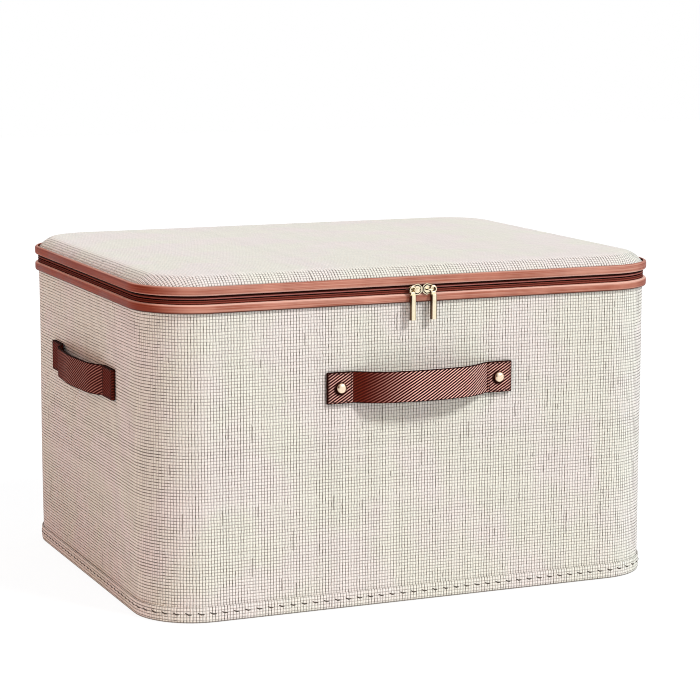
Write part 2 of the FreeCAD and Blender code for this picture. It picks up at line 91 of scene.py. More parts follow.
def plan_point(along, out=0.0):
    """The point and outward direction at an arc length from the front middle."""
    side = 1 if along >= 0 else -1
    rest = abs(along)
    bend = CORNER * math.pi / 2
    if rest < CORE_X:
        centre, turn = (rest, -CORE_Y), -math.pi / 2
    elif rest < CORE_X + bend:
        centre, turn = (CORE_X, -CORE_Y), (rest - CORE_X) / CORNER - math.pi / 2
    elif rest < CORE_X + bend + 2 * CORE_Y:
        centre, turn = (CORE_X, rest - CORE_X - bend - CORE_Y), 0.0
    elif rest < CORE_X + 2 * bend + 2 * CORE_Y:
        centre, turn = (CORE_X, CORE_Y), (rest - CORE_X - bend - 2 * CORE_Y) / CORNER
    else:
        centre, turn = (HALF_ROUND - rest, CORE_Y), math.pi / 2
    direction = Vector((side * math.cos(turn), math.sin(turn), 0))
    return Vector((side * centre[0], centre[1], 0)) + direction * (CORNER + out), direction


print("half way round the box", round(HALF_ROUND, 4), "m")

# %% [markdown]
# A script needs what the mouse does in the viewport: to choose a piece, to select edges or
# faces, and to cut. Vertices could be listed by number, but numbers change with every edit.
# Here a test on an edge's or a face's place selects it, and cuts are planes square to an
# axis, so each step still works when a size changes.

# %% Selecting and cutting by place
def choose(obj):
    """Make one object the selected and the active one."""
    bpy.ops.object.select_all(action="DESELECT")
    obj.select_set(True)
    bpy.context.view_layer.objects.active = obj


def finish_edit():
    bpy.ops.object.mode_set(mode="OBJECT")


def pick(obj, kind, wanted):
    """Select in edit mode the vertices, edges or faces that the test wants."""
    bpy.ops.mesh.select_mode(type=kind)
    bpy.ops.mesh.select_all(action="DESELECT")
    shape = bmesh.from_edit_mesh(obj.data)
    for item in {"VERT": shape.verts, "EDGE": shape.edges, "FACE": shape.faces}[kind]:
        if wanted(item):
            item.select_set(True)
    shape.select_flush_mode()
    bmesh.update_edit_mesh(obj.data)


def is_upright(edge):
    return abs((edge.verts[0].co - edge.verts[1].co).z) > TINY


def cut(axis, places):
    """Cut the whole piece with planes square to an axis."""
    for place in places:
        bpy.ops.mesh.select_all(action="SELECT")
        point = [place if i == axis else 0 for i in range(3)]
        normal = [1 if i == axis else 0 for i in range(3)]
        bpy.ops.mesh.bisect(plane_co=point, plane_no=normal)


def apply_modifier(obj, kind, **settings):
    choose(obj)
    modifier = obj.modifiers.new(kind.title(), kind)
    for name, value in settings.items():
        setattr(modifier, name, value)
    bpy.ops.object.modifier_apply(modifier=modifier.name)


def smooth(obj, degrees=40):
    choose(obj)
    bpy.ops.object.shade_smooth_by_angle(angle=math.radians(degrees))


# %% [markdown]
# A band is a wall round the plan: a cube at its size, its four upright edges bevelled to the
# corner radius, its two caps deleted. Cuts at chosen heights give it the rows that its profile
# needs, and then the rows move outwards. A curve with a bevel profile could do the same, but
# its corners would bunch up.

# %% Band round the box
def block(low, high):
    """A box between two corners, with its size and place in its mesh."""
    middle = [(a + b) / 2 for a, b in zip(low, high)]
    size = [b - a for a, b in zip(low, high)]
    bpy.ops.mesh.primitive_cube_add(size=1, location=middle, scale=size)
    bpy.ops.object.transform_apply(location=True, rotation=False, scale=True)
    return bpy.context.object


def rounded_block(name, out, foot, top):
    """A block over the plan with round upright edges, left in edit mode."""
    obj = block((-HALF_X - out, -HALF_Y - out, foot), (HALF_X + out, HALF_Y + out, top))
    obj.name = name
    bpy.ops.object.mode_set(mode="EDIT")
    pick(obj, "EDGE", is_upright)
    bpy.ops.mesh.bevel(offset=CORNER + out, segments=CORNER_SEGMENTS, affect="EDGES")
    return obj


def cut_sides(count_x, count_y):
    """Cut the straight sides into even pieces, twice the count on each."""
    cut(0, np.arange(-CORE_X, CORE_X + TINY, CORE_X / count_x))
    cut(1, np.arange(-CORE_Y, CORE_Y + TINY, CORE_Y / count_y))


def band(name, foot, top, heights, out_at, thickness, side_step=40 * MM):
    """A cloth wall round the plan with an outer profile, given its thickness inwards."""
    obj = rounded_block(name, 0, foot, top)
    pick(obj, "FACE", lambda face: abs(face.normal.z) > 0.9)
    bpy.ops.mesh.delete(type="FACE")
    cut(2, heights)
    cut_sides(round(CORE_X / side_step), round(CORE_Y / side_step))
    finish_edit()
    for vertex in obj.data.vertices:
        along, out = plan_place(vertex.co.x, vertex.co.y)
        step = out_at(along, vertex.co.z)
        vertex.co.x += out.x * step
        vertex.co.y += out.y * step
    apply_modifier(obj, "SOLIDIFY", thickness=thickness, offset=-1)
    return obj


# %% [markdown]
# A cloth pattern has to follow the cloth. Unwrapping would guess where a thread runs, so each
# face corner is told its place in the flat cloth instead: metres along the plan and metres up.
# A thread then keeps its width round every corner. The seam lies at the back middle, where the
# length jumps from one end to the other, so a face there takes the side of its own centre.

# %% Places in the cloth
def lay_cloth(obj, place_at):
    """Give every face corner its place in the cloth, in metres, as a UV map."""
    layer = obj.data.uv_layers.active or obj.data.uv_layers.new(name="cloth")
    layer.name = "cloth"
    for face in obj.data.polygons:
        for loop in face.loop_indices:
            corner = obj.data.vertices[obj.data.loops[loop].vertex_index].co
            layer.data[loop].uv = place_at(corner, face.center)


def round_the_box(corner, centre):
    along, out = plan_place(corner.x, corner.y)
    if abs(corner.x) < TINY and corner.y > 0:
        along = math.copysign(along, centre.x)
    return along, corner.z


# %% [markdown]
# The finishes come next. In the shader editor, a sum is a Math node with two noodles. Many
# such nodes are tiring to write one by one, so a small class lets a script write plain
# arithmetic, such as `height * 0.4 + 0.6`, and adds the nodes and links for it.

# %% Values in a node tree
def add_node(tree, kind, inputs=(), output=0, **settings):
    """Add a shader node, set it up, fill its inputs and return one of its outputs."""
    node = tree.nodes.new("ShaderNode" + kind)
    for name, setting in settings.items():
        setattr(node, name, setting)
    for key, value in dict(inputs).items():
        put(value, node.inputs[key])
    return Value(tree, node.outputs[output])


def put(value, socket):
    """Link a value to a socket, or set a plain number or colour on it."""
    if isinstance(value, Value):
        value.tree.links.new(value.socket, socket)
    elif socket.type == "RGBA":
        socket.default_value = (*value, 1.0)
    else:
        socket.default_value = value


class Value:
    """A number, colour or place in a node tree. Arithmetic with it adds Math nodes."""

    def __init__(self, tree, socket):
        self.tree = tree
        self.socket = socket

    def math(self, operation, *others):
        return add_node(self.tree, "Math", enumerate((self, *others)), operation=operation)

    def __add__(self, other):
        return self.math("ADD", other)

    def __sub__(self, other):
        return self.math("SUBTRACT", other)

    def __rsub__(self, first):
        return self.math("MULTIPLY_ADD", -1.0, first)

    def __mul__(self, other):
        return self.math("MULTIPLY", other)

    def __truediv__(self, other):
        return self.math("DIVIDE", other)

    def __abs__(self):
        return self.math("ABSOLUTE")


# %% [markdown]
# All the patterns on this box grow from a few nodes: noise, a random number for each thread,
# a smooth step and a mix of colours. Images could hold the patterns, but a formula stays
# sharp at any size and has no seams.

# %% Pattern helpers
def split(place):
    """The three parts of a place or a direction."""
    node = place.tree.nodes.new("ShaderNodeSeparateXYZ")
    put(place, node.inputs[0])
    return [Value(place.tree, part) for part in node.outputs]


def pair_of(x, y):
    return add_node(x.tree, "CombineXYZ", enumerate((x, y)))


def chance(x, y):
    """A random number from 0 to 1 that belongs to a whole-numbered place."""
    return add_node(x.tree, "TexWhiteNoise", {"Vector": pair_of(x, y)}, "Value",
                    noise_dimensions="2D")


def noise(place, scale, detail=2):
    return add_node(place.tree, "TexNoise", {"Vector": place, "Scale": scale, "Detail": detail},
                    "Fac")


def ease(value, low, high):
    """0 below low, 1 above high, and a smooth rise between them."""
    return add_node(value.tree, "MapRange", {"Value": value, "From Min": low, "From Max": high},
                    "Result", interpolation_type="SMOOTHSTEP")


def wave(value, length, kind="SINE"):
    """A sine or cosine from 0 to 1 with a crest once in every length."""
    return (value * (2 * math.pi / length)).math(kind) * 0.5 + 0.5


def mix_colour(share, first, second, blend="MIX"):
    tree = share.tree if isinstance(share, Value) else first.tree
    return add_node(tree, "Mix", {"Factor": share, "A": first, "B": second}, "Result",
                    data_type="RGBA", blend_type=blend)


# %% [markdown]
# What several materials share is a node group, with named inputs and outputs like any node.
# The first one finds the short sides of the box, which stand in shade, and the materials use it to
# paint that shade: every cloth there is made deeper and browner. It reads the direction of the face
# in the object's own frame, so it stays with the piece wherever the camera stands.

# %% Node groups
def new_group(name, inputs, outputs):
    """A node group, the values it is given by name, and the sockets of what it makes."""
    tree = bpy.data.node_groups.new(name, "ShaderNodeTree")
    for way, sockets in (("INPUT", inputs), ("OUTPUT", outputs)):
        for title, kind in sockets.items():
            tree.interface.new_socket(title, in_out=way, socket_type="NodeSocket" + kind)
    given = tree.nodes.new("NodeGroupInput").outputs
    made = tree.nodes.new("NodeGroupOutput").inputs
    return tree, {title: Value(tree, given[title]) for title in inputs}, made


def use_group(group, tree, inputs):
    """Add a group to a tree, fill its inputs and return its outputs by name."""
    node = tree.nodes.new("ShaderNodeGroup")
    node.node_tree = group
    for title, value in inputs.items():
        put(value, node.inputs[title])
    return {socket.name: Value(tree, socket) for socket in node.outputs}


SIDEWAYS, given, made = new_group(
    "Sideways share", {"Direction": "Vector", "From": "Float", "To": "Float"}, {"Share": "Float"})
put(ease(abs(split(given["Direction"])[0]), given["From"], given["To"]), made["Share"])


def object_normal(tree):
    return add_node(tree, "TexCoord", output="Normal")


def sideways(tree, start=0.3, full=0.95):
    """1 on the box's left and right walls, 0 on its front and back."""
    inputs = {"Direction": object_normal(tree), "From": start, "To": full}
    return use_group(SIDEWAYS, tree, inputs)["Share"]


print(SIDEWAYS.name, len(SIDEWAYS.nodes), "nodes")

# %% [markdown]
# The cover is a coarse plain weave, one thick thread over and one under. Each thread is a
# little round bar, so its height falls off to both sides, and the dark gaps between threads
# draw the grid that is seen from far. Hand-spun threads wander, so noise bends the grid, and
# random numbers for each column and row change a thread's width, tone and dark slubs.

# %% Basket weave group
WEAVE_PITCH = 2.74 * MM
BASKET_WEAVE, given, made = new_group(
    "Basket weave", {"Place": "Vector", "Pitch": "Float", "Slubs": "Float"},
    {"Height": "Float", "Columns": "Float", "Rows": "Float", "Tone": "Float", "Slub": "Float",
     "Patch": "Float"})


def thread_bar(offset, index, seed):
    """Round section of one thread, a little wider or thinner than the next."""
    share = (abs(offset) * (chance(index, seed) * 0.3 + 1.86)).math("POWER", 2.4)
    return (1 - share).math("MAXIMUM", 0.0)


def thread_dip(offset):
    """How high a thread stands on its way over its neighbour and down again."""
    return (offset * math.pi).math("COSINE") * 0.4 + 0.6


place = given["Place"]
across, up, _ = split(place)
wander = (noise(place, 170, 1) - 0.5) * 0.3 + (noise(place, 45) - 0.5) * 0.22
u = across / given["Pitch"] + wander
v = up / given["Pitch"] + (noise(pair_of(up, across), 60) - 0.5) * 0.35
column, row = u.math("FLOOR"), v.math("FLOOR")
beside, above = u.math("FRACT") - 0.5, v.math("FRACT") - 0.5
warp, weft = thread_bar(beside, column, 3.0), thread_bar(above, row, 7.0)
EVEN_START = 4096.0
warp_over = (column + row + EVEN_START).math("MODULO", 2.0)
weft_over = 1 - warp_over
top = warp * thread_dip(above) * warp_over + weft * thread_dip(beside) * weft_over
height = top.math("MAXIMUM", warp.math("MAXIMUM", weft) * 0.35)
tone = chance(column, 11.0) * warp_over + chance(row, 13.0) * weft_over

# %% [markdown]
# A slub is a short dark stretch on one side of an upright thread. Each column is cut into
# spans of about nine threads, a random few of them get a slub, and its length is random too.

# %% Slubs and patches of the weave
stretch = v * 0.115 + chance(column, 17.0) * 9.0
span = stretch.math("FLOOR")
off_middle = abs(stretch.math("FRACT") - 0.5)
inside = off_middle.math("LESS_THAN", chance(column + 0.5, span) * 0.38 + 0.08)
rare = chance(column, span).math("LESS_THAN", given["Slubs"])
thin = 1 - ease(abs(beside - 0.3), 0.08, 0.22)
patch = chance(column, row + 0.25) * 0.7 + ease(noise(place, 160), 0.35, 0.65) * 0.3
for title, value in (("Height", height), ("Tone", tone), ("Slub", inside * rare * thin),
                     ("Patch", patch), ("Columns", ease(warp, 0.05, 0.9)),
                     ("Rows", ease(weft, 0.05, 0.85))):
    put(value, made[title])
print(BASKET_WEAVE.name, len(BASKET_WEAVE.nodes), "nodes")

# %% [markdown]
# The second group turns the weave's masks into the colour of the cream cloth. The gaps are painted
# shadows between threads: on the walls they are dark, and on the lid, which looks up into the light,
# they almost vanish, and the slubs fade there too. The low parts of each thread get painted shade as
# well. One mask for all gaps would look printed, so gaps beside and below a thread change with the
# patch they lie in, and with the painted shade of the short sides. All three cream materials use
# this group.

# %% Cream cloth group
CREAM = (0.84, 0.828, 0.795)
CREAM_SHADED = tuple(0.93 * part for part in CREAM)
CREAM_HOLLOW_SHADE = (0.40, 0.38, 0.35)
CREAM_GAP_SHADOW = (0.065, 0.052, 0.042)
CREAM_WORN = (0.45, 0.43, 0.40)
GREENISH, ROSY = (0.975, 0.985, 0.915), (1.0, 0.96, 0.95)
# Colour of the dark slubs, and of the painted shadow at the hem's foot.
SLUB_AND_HEM_SHADOW = (0.10, 0.085, 0.07)
CREAM_CLOTH, given, made = new_group(
    "Cream cloth", {"Place": "Vector", "Direction": "Vector", "Sideways": "Float",
                    "Slubs": "Float"}, {"Colour": "Color", "Height": "Float"})
place, beside = given["Place"], given["Sideways"]
weave = use_group(BASKET_WEAVE, CREAM_CLOTH,
                  {"Place": place, "Pitch": WEAVE_PITCH, "Slubs": given["Slubs"]})
rows, patch = weave["Rows"], weave["Patch"]
# Painted light: the gap shadows and the slubs fade where the cloth faces up.
top_light_fade = ease(split(given["Direction"])[2], 0.90, 0.992) * -0.82 + 1.0
# Painted shadow in the gaps, its strength also set by the painted shade of the short sides.
gap_beside = (beside * -0.45 + 1.0) * (patch * -1.05 + 1.56) * (rows * -0.40 + 1.06)
gap_below = (beside * 0.56 + 0.44) * (patch * 1.3 + 0.35)
gap_shadow = ((1 - weave["Columns"]) * gap_beside * top_light_fade).math(
    "MAXIMUM", (1 - rows) * gap_below * top_light_fade)
colour = mix_colour(weave["Tone"], CREAM, CREAM_SHADED)
# Painted shade in the low parts of each thread.
colour = mix_colour((1 - weave["Height"]) * 0.3, colour, CREAM_HOLLOW_SHADE)
# Painted shadow between the threads.
colour = mix_colour(gap_shadow, colour, CREAM_GAP_SHADOW)
tint = mix_colour(ease(noise(place, 14), 0.4, 0.62), GREENISH, ROSY)
colour = mix_colour(1.0, colour, tint, "MULTIPLY")
colour = mix_colour(patch * 0.1, colour, CREAM_WORN)
# Dark slubs, faded on the lid's top as painted light.
put(mix_colour(weave["Slub"] * 0.62 * top_light_fade, colour, SLUB_AND_HEM_SHADOW), made["Colour"])
put(noise(place, 2600) * 0.18 + weave["Height"], made["Height"])
print(CREAM_CLOTH.name, len(CREAM_CLOTH.nodes), "nodes")

# %% [markdown]
# A material ends in one shader. It takes a colour, a bump made from a height, and plain numbers for
# what is the same all over. The cover reads its cloth map. The hem is the same cloth, with a painted
# shadow along its foot. The base has no map, and it lies flat, so it reads its place in the object.

# %% Woven materials
def new_material(name):
    material = bpy.data.materials.new(name)
    material.use_nodes = True
    print("material", name)
    return material, material.node_tree


def set_surface(tree, colour, height, settings, depth, strength):
    """Give a material's shader its colour, its plain settings and its relief."""
    shader = tree.nodes["Principled BSDF"]
    relief = {"Height": height, "Distance": depth, "Strength": strength}
    put(colour, shader.inputs["Base Color"])
    put(add_node(tree, "Bump", relief, "Normal"), shader.inputs["Normal"])
    for title, value in settings.items():
        put(value, shader.inputs[title])


def cloth_place(tree):
    return add_node(tree, "UVMap", uv_map="cloth")


def object_place(tree):
    return add_node(tree, "TexCoord", output="Object")


HEM_SHADOW_FADE = (0.9 * MM, 2.2 * MM)


def woven_material(name, place_of, slubs, hem_shadow_share=0.0):
    material, tree = new_material(name)
    place = place_of(tree)
    cloth = use_group(CREAM_CLOTH, tree, {"Place": place, "Direction": object_normal(tree),
                                          "Sideways": sideways(tree), "Slubs": slubs})
    colour = cloth["Colour"]
    if hem_shadow_share:
        # Painted shadow: the hem darkens towards its foot, where it meets the floor.
        hem_foot_shadow = 1 - ease(split(place)[1], *HEM_SHADOW_FADE)
        colour = mix_colour(hem_foot_shadow * hem_shadow_share, colour, SLUB_AND_HEM_SHADOW)
    settings = {"Roughness": 0.85, "Specular IOR Level": 0.08, "Sheen Weight": 0.08}
    set_surface(tree, colour, cloth["Height"], settings, depth=0.45 * MM, strength=0.75)
    return material


woven = woven_material("Cream basket weave", cloth_place, slubs=0.026)
woven_hem = woven_material("Cream hem cloth", cloth_place, slubs=0.0, hem_shadow_share=0.75)
woven_base = woven_material("Cream base cloth", object_place, slubs=0.01)

# %% [markdown]
# The bands look like thin smooth leather: red-brown, satin, with lengthwise streaks and a fine
# grain; the streaks are pale enough to paint a sheen as well. Their edges at the zip carry a painted
# highlight, and the lower band's foot a painted shadow. Both marks could be painted by hand, but
# they only depend on the height, so two smooth steps in metres, measured from the middle of the zip,
# place them. On the short sides the whole band is darkened with painted shade.

# %% Leather material
strip_low, strip_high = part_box("hinge_strip")
ZIP_MIDDLE = (strip_low.z + strip_high.z) / 2
RECESS_LOW, RECESS_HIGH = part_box("lower_binding")[1].z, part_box("upper_binding")[0].z
RECESS_HALF = ZIP_MIDDLE - RECESS_LOW
LEATHER_DEEP, LEATHER_PALE = (0.30, 0.092, 0.056), (0.42, 0.163, 0.110)
LEATHER_STREAK_SHEEN, LEATHER_EDGE_HIGHLIGHT = (0.78, 0.48, 0.38), (0.86, 0.58, 0.48)
LEATHER_FOOT_SHADOW, LEATHER_SIDE_SHADE = (0.050, 0.012, 0.006), (0.55, 0.23, 0.14)
leather, tree = new_material("Red-brown leather")
place = cloth_place(tree)
along, up, _ = split(place)
drift = ease(noise(place, 30, 4), 0.3, 0.7)
streaks = noise(pair_of(along * 8.0, up * 900.0), 1.0)
# Painted highlight along the band edges at the zip.
painted_highlight = 1 - ease(abs(up - ZIP_MIDDLE), RECESS_HALF + 0.7 * MM, RECESS_HALF + 1.7 * MM)
# Painted shadow along the lower band's foot.
band_foot_shadow = 1 - ease(up, RECESS_LOW - 7.1 * MM, RECESS_LOW - 6.2 * MM)
colour = mix_colour(drift, LEATHER_DEEP, LEATHER_PALE)
# Lengthwise streaks, pale enough to paint a sheen too.
colour = mix_colour(ease(streaks, 0.35, 0.7) * 0.35, colour, LEATHER_STREAK_SHEEN)
colour = mix_colour(painted_highlight * 0.55, colour, LEATHER_EDGE_HIGHLIGHT)
colour = mix_colour(band_foot_shadow * 0.85, colour, LEATHER_FOOT_SHADOW)
# Painted shade on the short sides.
colour = mix_colour(sideways(tree), colour, LEATHER_SIDE_SHADE, "MULTIPLY")
grain = add_node(tree, "TexVoronoi", {"Vector": place, "Scale": 1500}, "Distance")
settings = {"Roughness": drift * 0.14 + 0.42, "Specular IOR Level": 0.1}
set_surface(tree, colour, streaks * 0.6 + grain, settings, depth=0.08 * MM, strength=0.6)

# %% [markdown]
# The zip tape is dark cloth with ribs along it. The eye sees the pale crests with painted shade
# between them, a painted highlight on one ridge near the coil, and a painted shadow as a black
# groove under the upper band. The ribs are a cosine of the height, crossed by a fine sine along the
# tape for the single threads. On the short sides the tape gets painted shade. The trim tape inside
# is the same cloth in calmer colours, without the groove shadow, so both share a group.

# %% Tape materials
RIB_PITCH, RIB_PLACE = 1.85 * MM, 280.2 * MM
PICK_PITCH = 0.55 * MM
GROOVE_START = RIB_PLACE + 4.5 * MM
TAPE_GROOVE_SHADOW, TAPE_SIDE_SHADE = (0.008, 0.0006, 0.0005), (0.58, 0.36, 0.27)
RIBBED_TAPE, given, made = new_group(
    "Ribbed tape", {"Place": "Vector", "Sideways": "Float", "Dark": "Color", "Pale": "Color",
                    "Ridge": "Color", "Groove shadow share": "Float"},
    {"Colour": "Color", "Height": "Float"})
along, up, _ = split(given["Place"])
ribs = ease(((up - RIB_PLACE) * (2 * math.pi / RIB_PITCH)).math("COSINE"), -0.6, 0.9)
# Painted shade between the ribs, pale on their crests.
lit = ribs * (wave(along, PICK_PITCH) * 0.4 + 0.6)
# Painted highlight on one ridge near the coil.
ridge = 1 - ease(abs(up - (RIB_PLACE + 2 * RIB_PITCH)), 0.25 * MM, 0.75 * MM)
# Painted shadow of the upper band, a black groove under it.
groove_shadow = ease(up, GROOVE_START, GROOVE_START + 0.5 * MM)
colour = mix_colour(lit, given["Dark"], given["Pale"])
colour = mix_colour(ridge * 0.6, colour, given["Ridge"])
colour = mix_colour(groove_shadow * given["Groove shadow share"], colour, TAPE_GROOVE_SHADOW)
# Painted shade on the short sides.
colour = mix_colour(given["Sideways"], colour, TAPE_SIDE_SHADE, "MULTIPLY")
put(colour, made["Colour"])
put(lit, made["Height"])


def tape_material(name, dark, pale, ridge, groove_shadow_share):
    material, tree = new_material(name)
    tape = use_group(RIBBED_TAPE, tree, {"Place": cloth_place(tree), "Sideways": sideways(tree),
                                         "Dark": dark, "Pale": pale, "Ridge": ridge,
                                         "Groove shadow share": groove_shadow_share})
    settings = {"Roughness": 0.7, "Specular IOR Level": 0.03}
    set_surface(tree, tape["Colour"], tape["Height"], settings, depth=0.15 * MM, strength=0.7)
    return material


TRIM_PALE = (0.165, 0.038, 0.029)
tape_cloth = tape_material("Dark maroon zip tape", dark=(0.080, 0.015, 0.009),
                           pale=(0.27, 0.065, 0.046), ridge=(0.40, 0.17, 0.15),
                           groove_shadow_share=0.95)
trim_cloth = tape_material("Maroon trim tape", dark=(0.085, 0.017, 0.012), pale=TRIM_PALE,
                           ridge=TRIM_PALE, groove_shadow_share=0.0)

# %% [markdown]
# The handles are twill webbing: thick diagonal ridges with painted shade in the valleys between
# them, and a dark woven rim. The ridges are a cosine of a slanted place, bent a little by noise. The
# crests carry a painted highlight where the strap faces the light, and stay dark as painted shade
# where it turns away. The piece itself stores how much, and where its rims and painted shadows are,
# in two attributes, which is easier to control than a mask made from its place in space.

# %% Webbing material
TWILL_PITCH, TWILL_SLOPE = 2.62 * MM, 0.61
FLOAT_PITCH = 0.9 * MM
# Painted highlight on the crests, painted shade in the valleys.
CREST_IN_SHADE, CREST_HIGHLIGHT = (0.150, 0.022, 0.012), (0.92, 0.52, 0.44)
VALLEY_SHADE, VALLEY_DEEP_SHADE = (0.055, 0.008, 0.005), (0.006, 0.001, 0.001)
# Dark woven rims, also the painted shadow round the rivets and at the folds.
RIM_AND_SHADOW_COLOUR = (0.016, 0.003, 0.002)


def attribute(tree, name):
    return add_node(tree, "Attribute", output="Fac", attribute_name=name)


webbing, tree = new_material("Maroon twill webbing")
place = cloth_place(tree)
along, up, _ = split(place)
wobble = (noise(place, 180) - 0.5) * (0.5 * MM)
ridge = wave(up - along * TWILL_SLOPE + wobble, TWILL_PITCH, "COSINE")
floats = wave(along, FLOAT_PITCH)
# Painted shade in the valleys, pale crests between them.
lit = ease(ridge, 0.48, 0.88) * (floats * 0.2 + 0.8)
# How much painted highlight, read from the strap's attribute.
painted_highlight = attribute(tree, "painted_highlight") * (noise(place, 50, 3) * 0.3 + 0.85)
crest = mix_colour(painted_highlight, CREST_IN_SHADE, CREST_HIGHLIGHT)
valley = mix_colour(painted_highlight, VALLEY_SHADE, VALLEY_DEEP_SHADE)
# Rims, with painted shadow round the rivets and at the folds.
colour = mix_colour(attribute(tree, "rim"), mix_colour(lit, valley, crest), RIM_AND_SHADOW_COLOUR)
settings = {"Roughness": 0.7, "Specular IOR Level": 0.02}
set_surface(tree, colour, floats * 0.15 + ridge, settings, depth=0.5 * MM, strength=0.7)

# %% [markdown]
# The fittings are pale polished brass. Plain metal looks like plastic, because real brass is hazy:
# patches a few millimetres wide are brighter or rougher. Parts that face sideways look into a dark
# room, so a mask paints a dark reflection on them. The sliders and the rosier rivets share the
# group.

# %% Brass materials
BRASS_DARK_REFLECTION = (0.085, 0.032, 0.012)
HAZY_BRASS, given, made = new_group(
    "Hazy brass", {"Place": "Vector", "Sideways": "Float", "Dull": "Color", "Bright": "Color",
                   "Dark flank reflection": "Float"},
    {"Colour": "Color", "Roughness": "Float", "Height": "Float"})
haze = noise(given["Place"], 420, 4)
colour = mix_colour(haze, given["Dull"], given["Bright"])
# Painted dark reflection on the faces that look sideways.
flank_reflection = given["Sideways"] * given["Dark flank reflection"]
put(mix_colour(flank_reflection, colour, BRASS_DARK_REFLECTION), made["Colour"])
put(haze * 0.22 + 0.12, made["Roughness"])
put(noise(given["Place"], 1800), made["Height"])


def brass_material(name, dark_flank_reflection, dull, bright):
    material, tree = new_material(name)
    metal = use_group(HAZY_BRASS, tree, {"Place": object_place(tree), "Dull": dull,
                                         "Bright": bright, "Dark flank reflection": dark_flank_reflection,
                                         "Sideways": sideways(tree, 0.2, 0.7)})
    settings = {"Roughness": metal["Roughness"], "Metallic": 1.0}
    set_surface(tree, metal["Colour"], metal["Height"], settings, depth=0.02 * MM, strength=0.4)
    return material


brass = brass_material("Pale polished brass", dark_flank_reflection=0.93, dull=(0.92, 0.77, 0.50),
                       bright=(1.0, 0.92, 0.72))
rivet_brass = brass_material("Rosy rivet brass", dark_flank_reflection=0.25, dull=(0.90, 0.70, 0.50),
                             bright=(1.0, 0.85, 0.67))

# %% [markdown]
# The inside shows when the lid is open. The boards are pressed grey fibre, so fine noise mixes
# two browns. The lining is non-woven cloth, which is embossed with small dots in a nearly even
# grid. A Voronoi texture with little randomness gives that grid without any counting.

# %% Board and lining materials
BOARD_DARK, BOARD_PALE = (0.30, 0.26, 0.21), (0.52, 0.46, 0.38)
LINING_SUNK, LINING_PALE, LINING_FIBRE = (0.67, 0.64, 0.585), (0.74, 0.71, 0.655), (0.70, 0.66, 0.60)
board, tree = new_material("Pressed grey board")
fibres = noise(object_place(tree), 700, 6)
colour = mix_colour(ease(fibres, 0.3, 0.7), BOARD_DARK, BOARD_PALE)
set_surface(tree, colour, fibres, {"Roughness": 0.9}, depth=0.12 * MM, strength=0.5)

lining, tree = new_material("Non-woven lining")
place = object_place(tree)
cells = {"Vector": place, "Scale": 520, "Randomness": 0.12}
dots = ease(add_node(tree, "TexVoronoi", cells, "Distance"), 0.12, 0.38)
fibres = noise(place, 900, 5)
colour = mix_colour(dots, LINING_SUNK, LINING_PALE)
colour = mix_colour(fibres * 0.3, colour, LINING_FIBRE, "MULTIPLY")
settings = {"Roughness": 0.88, "Sheen Weight": 0.1}
set_surface(tree, colour, fibres * 0.4 + dots, settings, depth=0.12 * MM, strength=0.6)

# %% [markdown]
# Stitches, coils and the dark colour in the brass's grooves are so small that one fibrous look
# serves them all, each with its own two colours and gloss. It is a group too, because four materials
# use it.

# %% Thread materials
SPUN_THREAD, given, made = new_group(
    "Spun thread", {"Place": "Vector", "Dark": "Color", "Pale": "Color"},
    {"Colour": "Color", "Height": "Float"})
fibres = noise(given["Place"], 2200, 3)
put(mix_colour(fibres, given["Dark"], given["Pale"]), made["Colour"])
put(fibres, made["Height"])


def thread_material(name, dark, pale, roughness=0.6):
    material, tree = new_material(name)
    thread = use_group(SPUN_THREAD, tree,
                       {"Place": object_place(tree), "Dark": dark, "Pale": pale})
    settings = {"Roughness": roughness, "Specular IOR Level": 0.2}
    set_surface(tree, thread["Colour"], thread["Height"], settings, depth=0.06 * MM, strength=0.6)
    return material


grooved_brass = thread_material("Brass darkened in its grooves", dark=(0.012, 0.005, 0.003),
                                pale=(0.03, 0.012, 0.006), roughness=0.5)
nylon = thread_material("Maroon nylon coil", dark=(0.06, 0.014, 0.012),
                        pale=(0.13, 0.04, 0.036), roughness=0.35)
grey_thread = thread_material("Grey-brown stitching", dark=(0.035, 0.028, 0.022),
                              pale=(0.09, 0.075, 0.06))
maroon_thread = thread_material("Maroon stitching", dark=(0.010, 0.002, 0.002),
                                pale=(0.040, 0.010, 0.008))

# %% [markdown]
# Every piece ends in the same steps: its cloth map, smooth shading, its material, and then its body
# and the imported nodes whose place it takes. Each step could be repeated at every piece. Functions
# keep them the same for all.

# %% Finishing a piece
def finish_with(obj, material):
    obj.data.materials.clear()
    obj.data.materials.append(material)


def finish_cloth(obj, material, degrees=60, place_at=round_the_box):
    lay_cloth(obj, place_at)
    smooth(obj, degrees)
    finish_with(obj, material)


def dress(obj, body, slot, *replaced):
    """Hang a finished piece on its body in place of the nodes it replaces; the slot is not used."""
    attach(obj, body)
    if replaced:
        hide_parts(*replaced)
    print(obj.name, len(obj.data.polygons), "faces")


# %% [markdown]
# The wall cover is one strip of weave glued round the boards. It is nearly flat, but hand-made
# cloth never is quite, so its rows carry a shallow swell of a few tenths of a millimetre. A
# displacement texture could do that too. Two slow sines are easier to keep within the box.

# %% Wall cover
WALL_FOOT, WALL_TOP = cover_low.z, cover_high.z
COVER_THICKNESS = 1 * MM
ROW_STEP = 16 * MM
EDGE_FADE = 25 * MM


def wall_swell(along, height):
    low = math.sin(along * 21 + 1.3) * math.sin(height * 17 + 0.6)
    fine = math.sin(along * 57 + height * 31)
    edge = min(1.0, (WALL_TOP - height) / EDGE_FADE, (height - WALL_FOOT) / EDGE_FADE)
    return edge * (0.30 * MM * low + 0.12 * MM * fine)


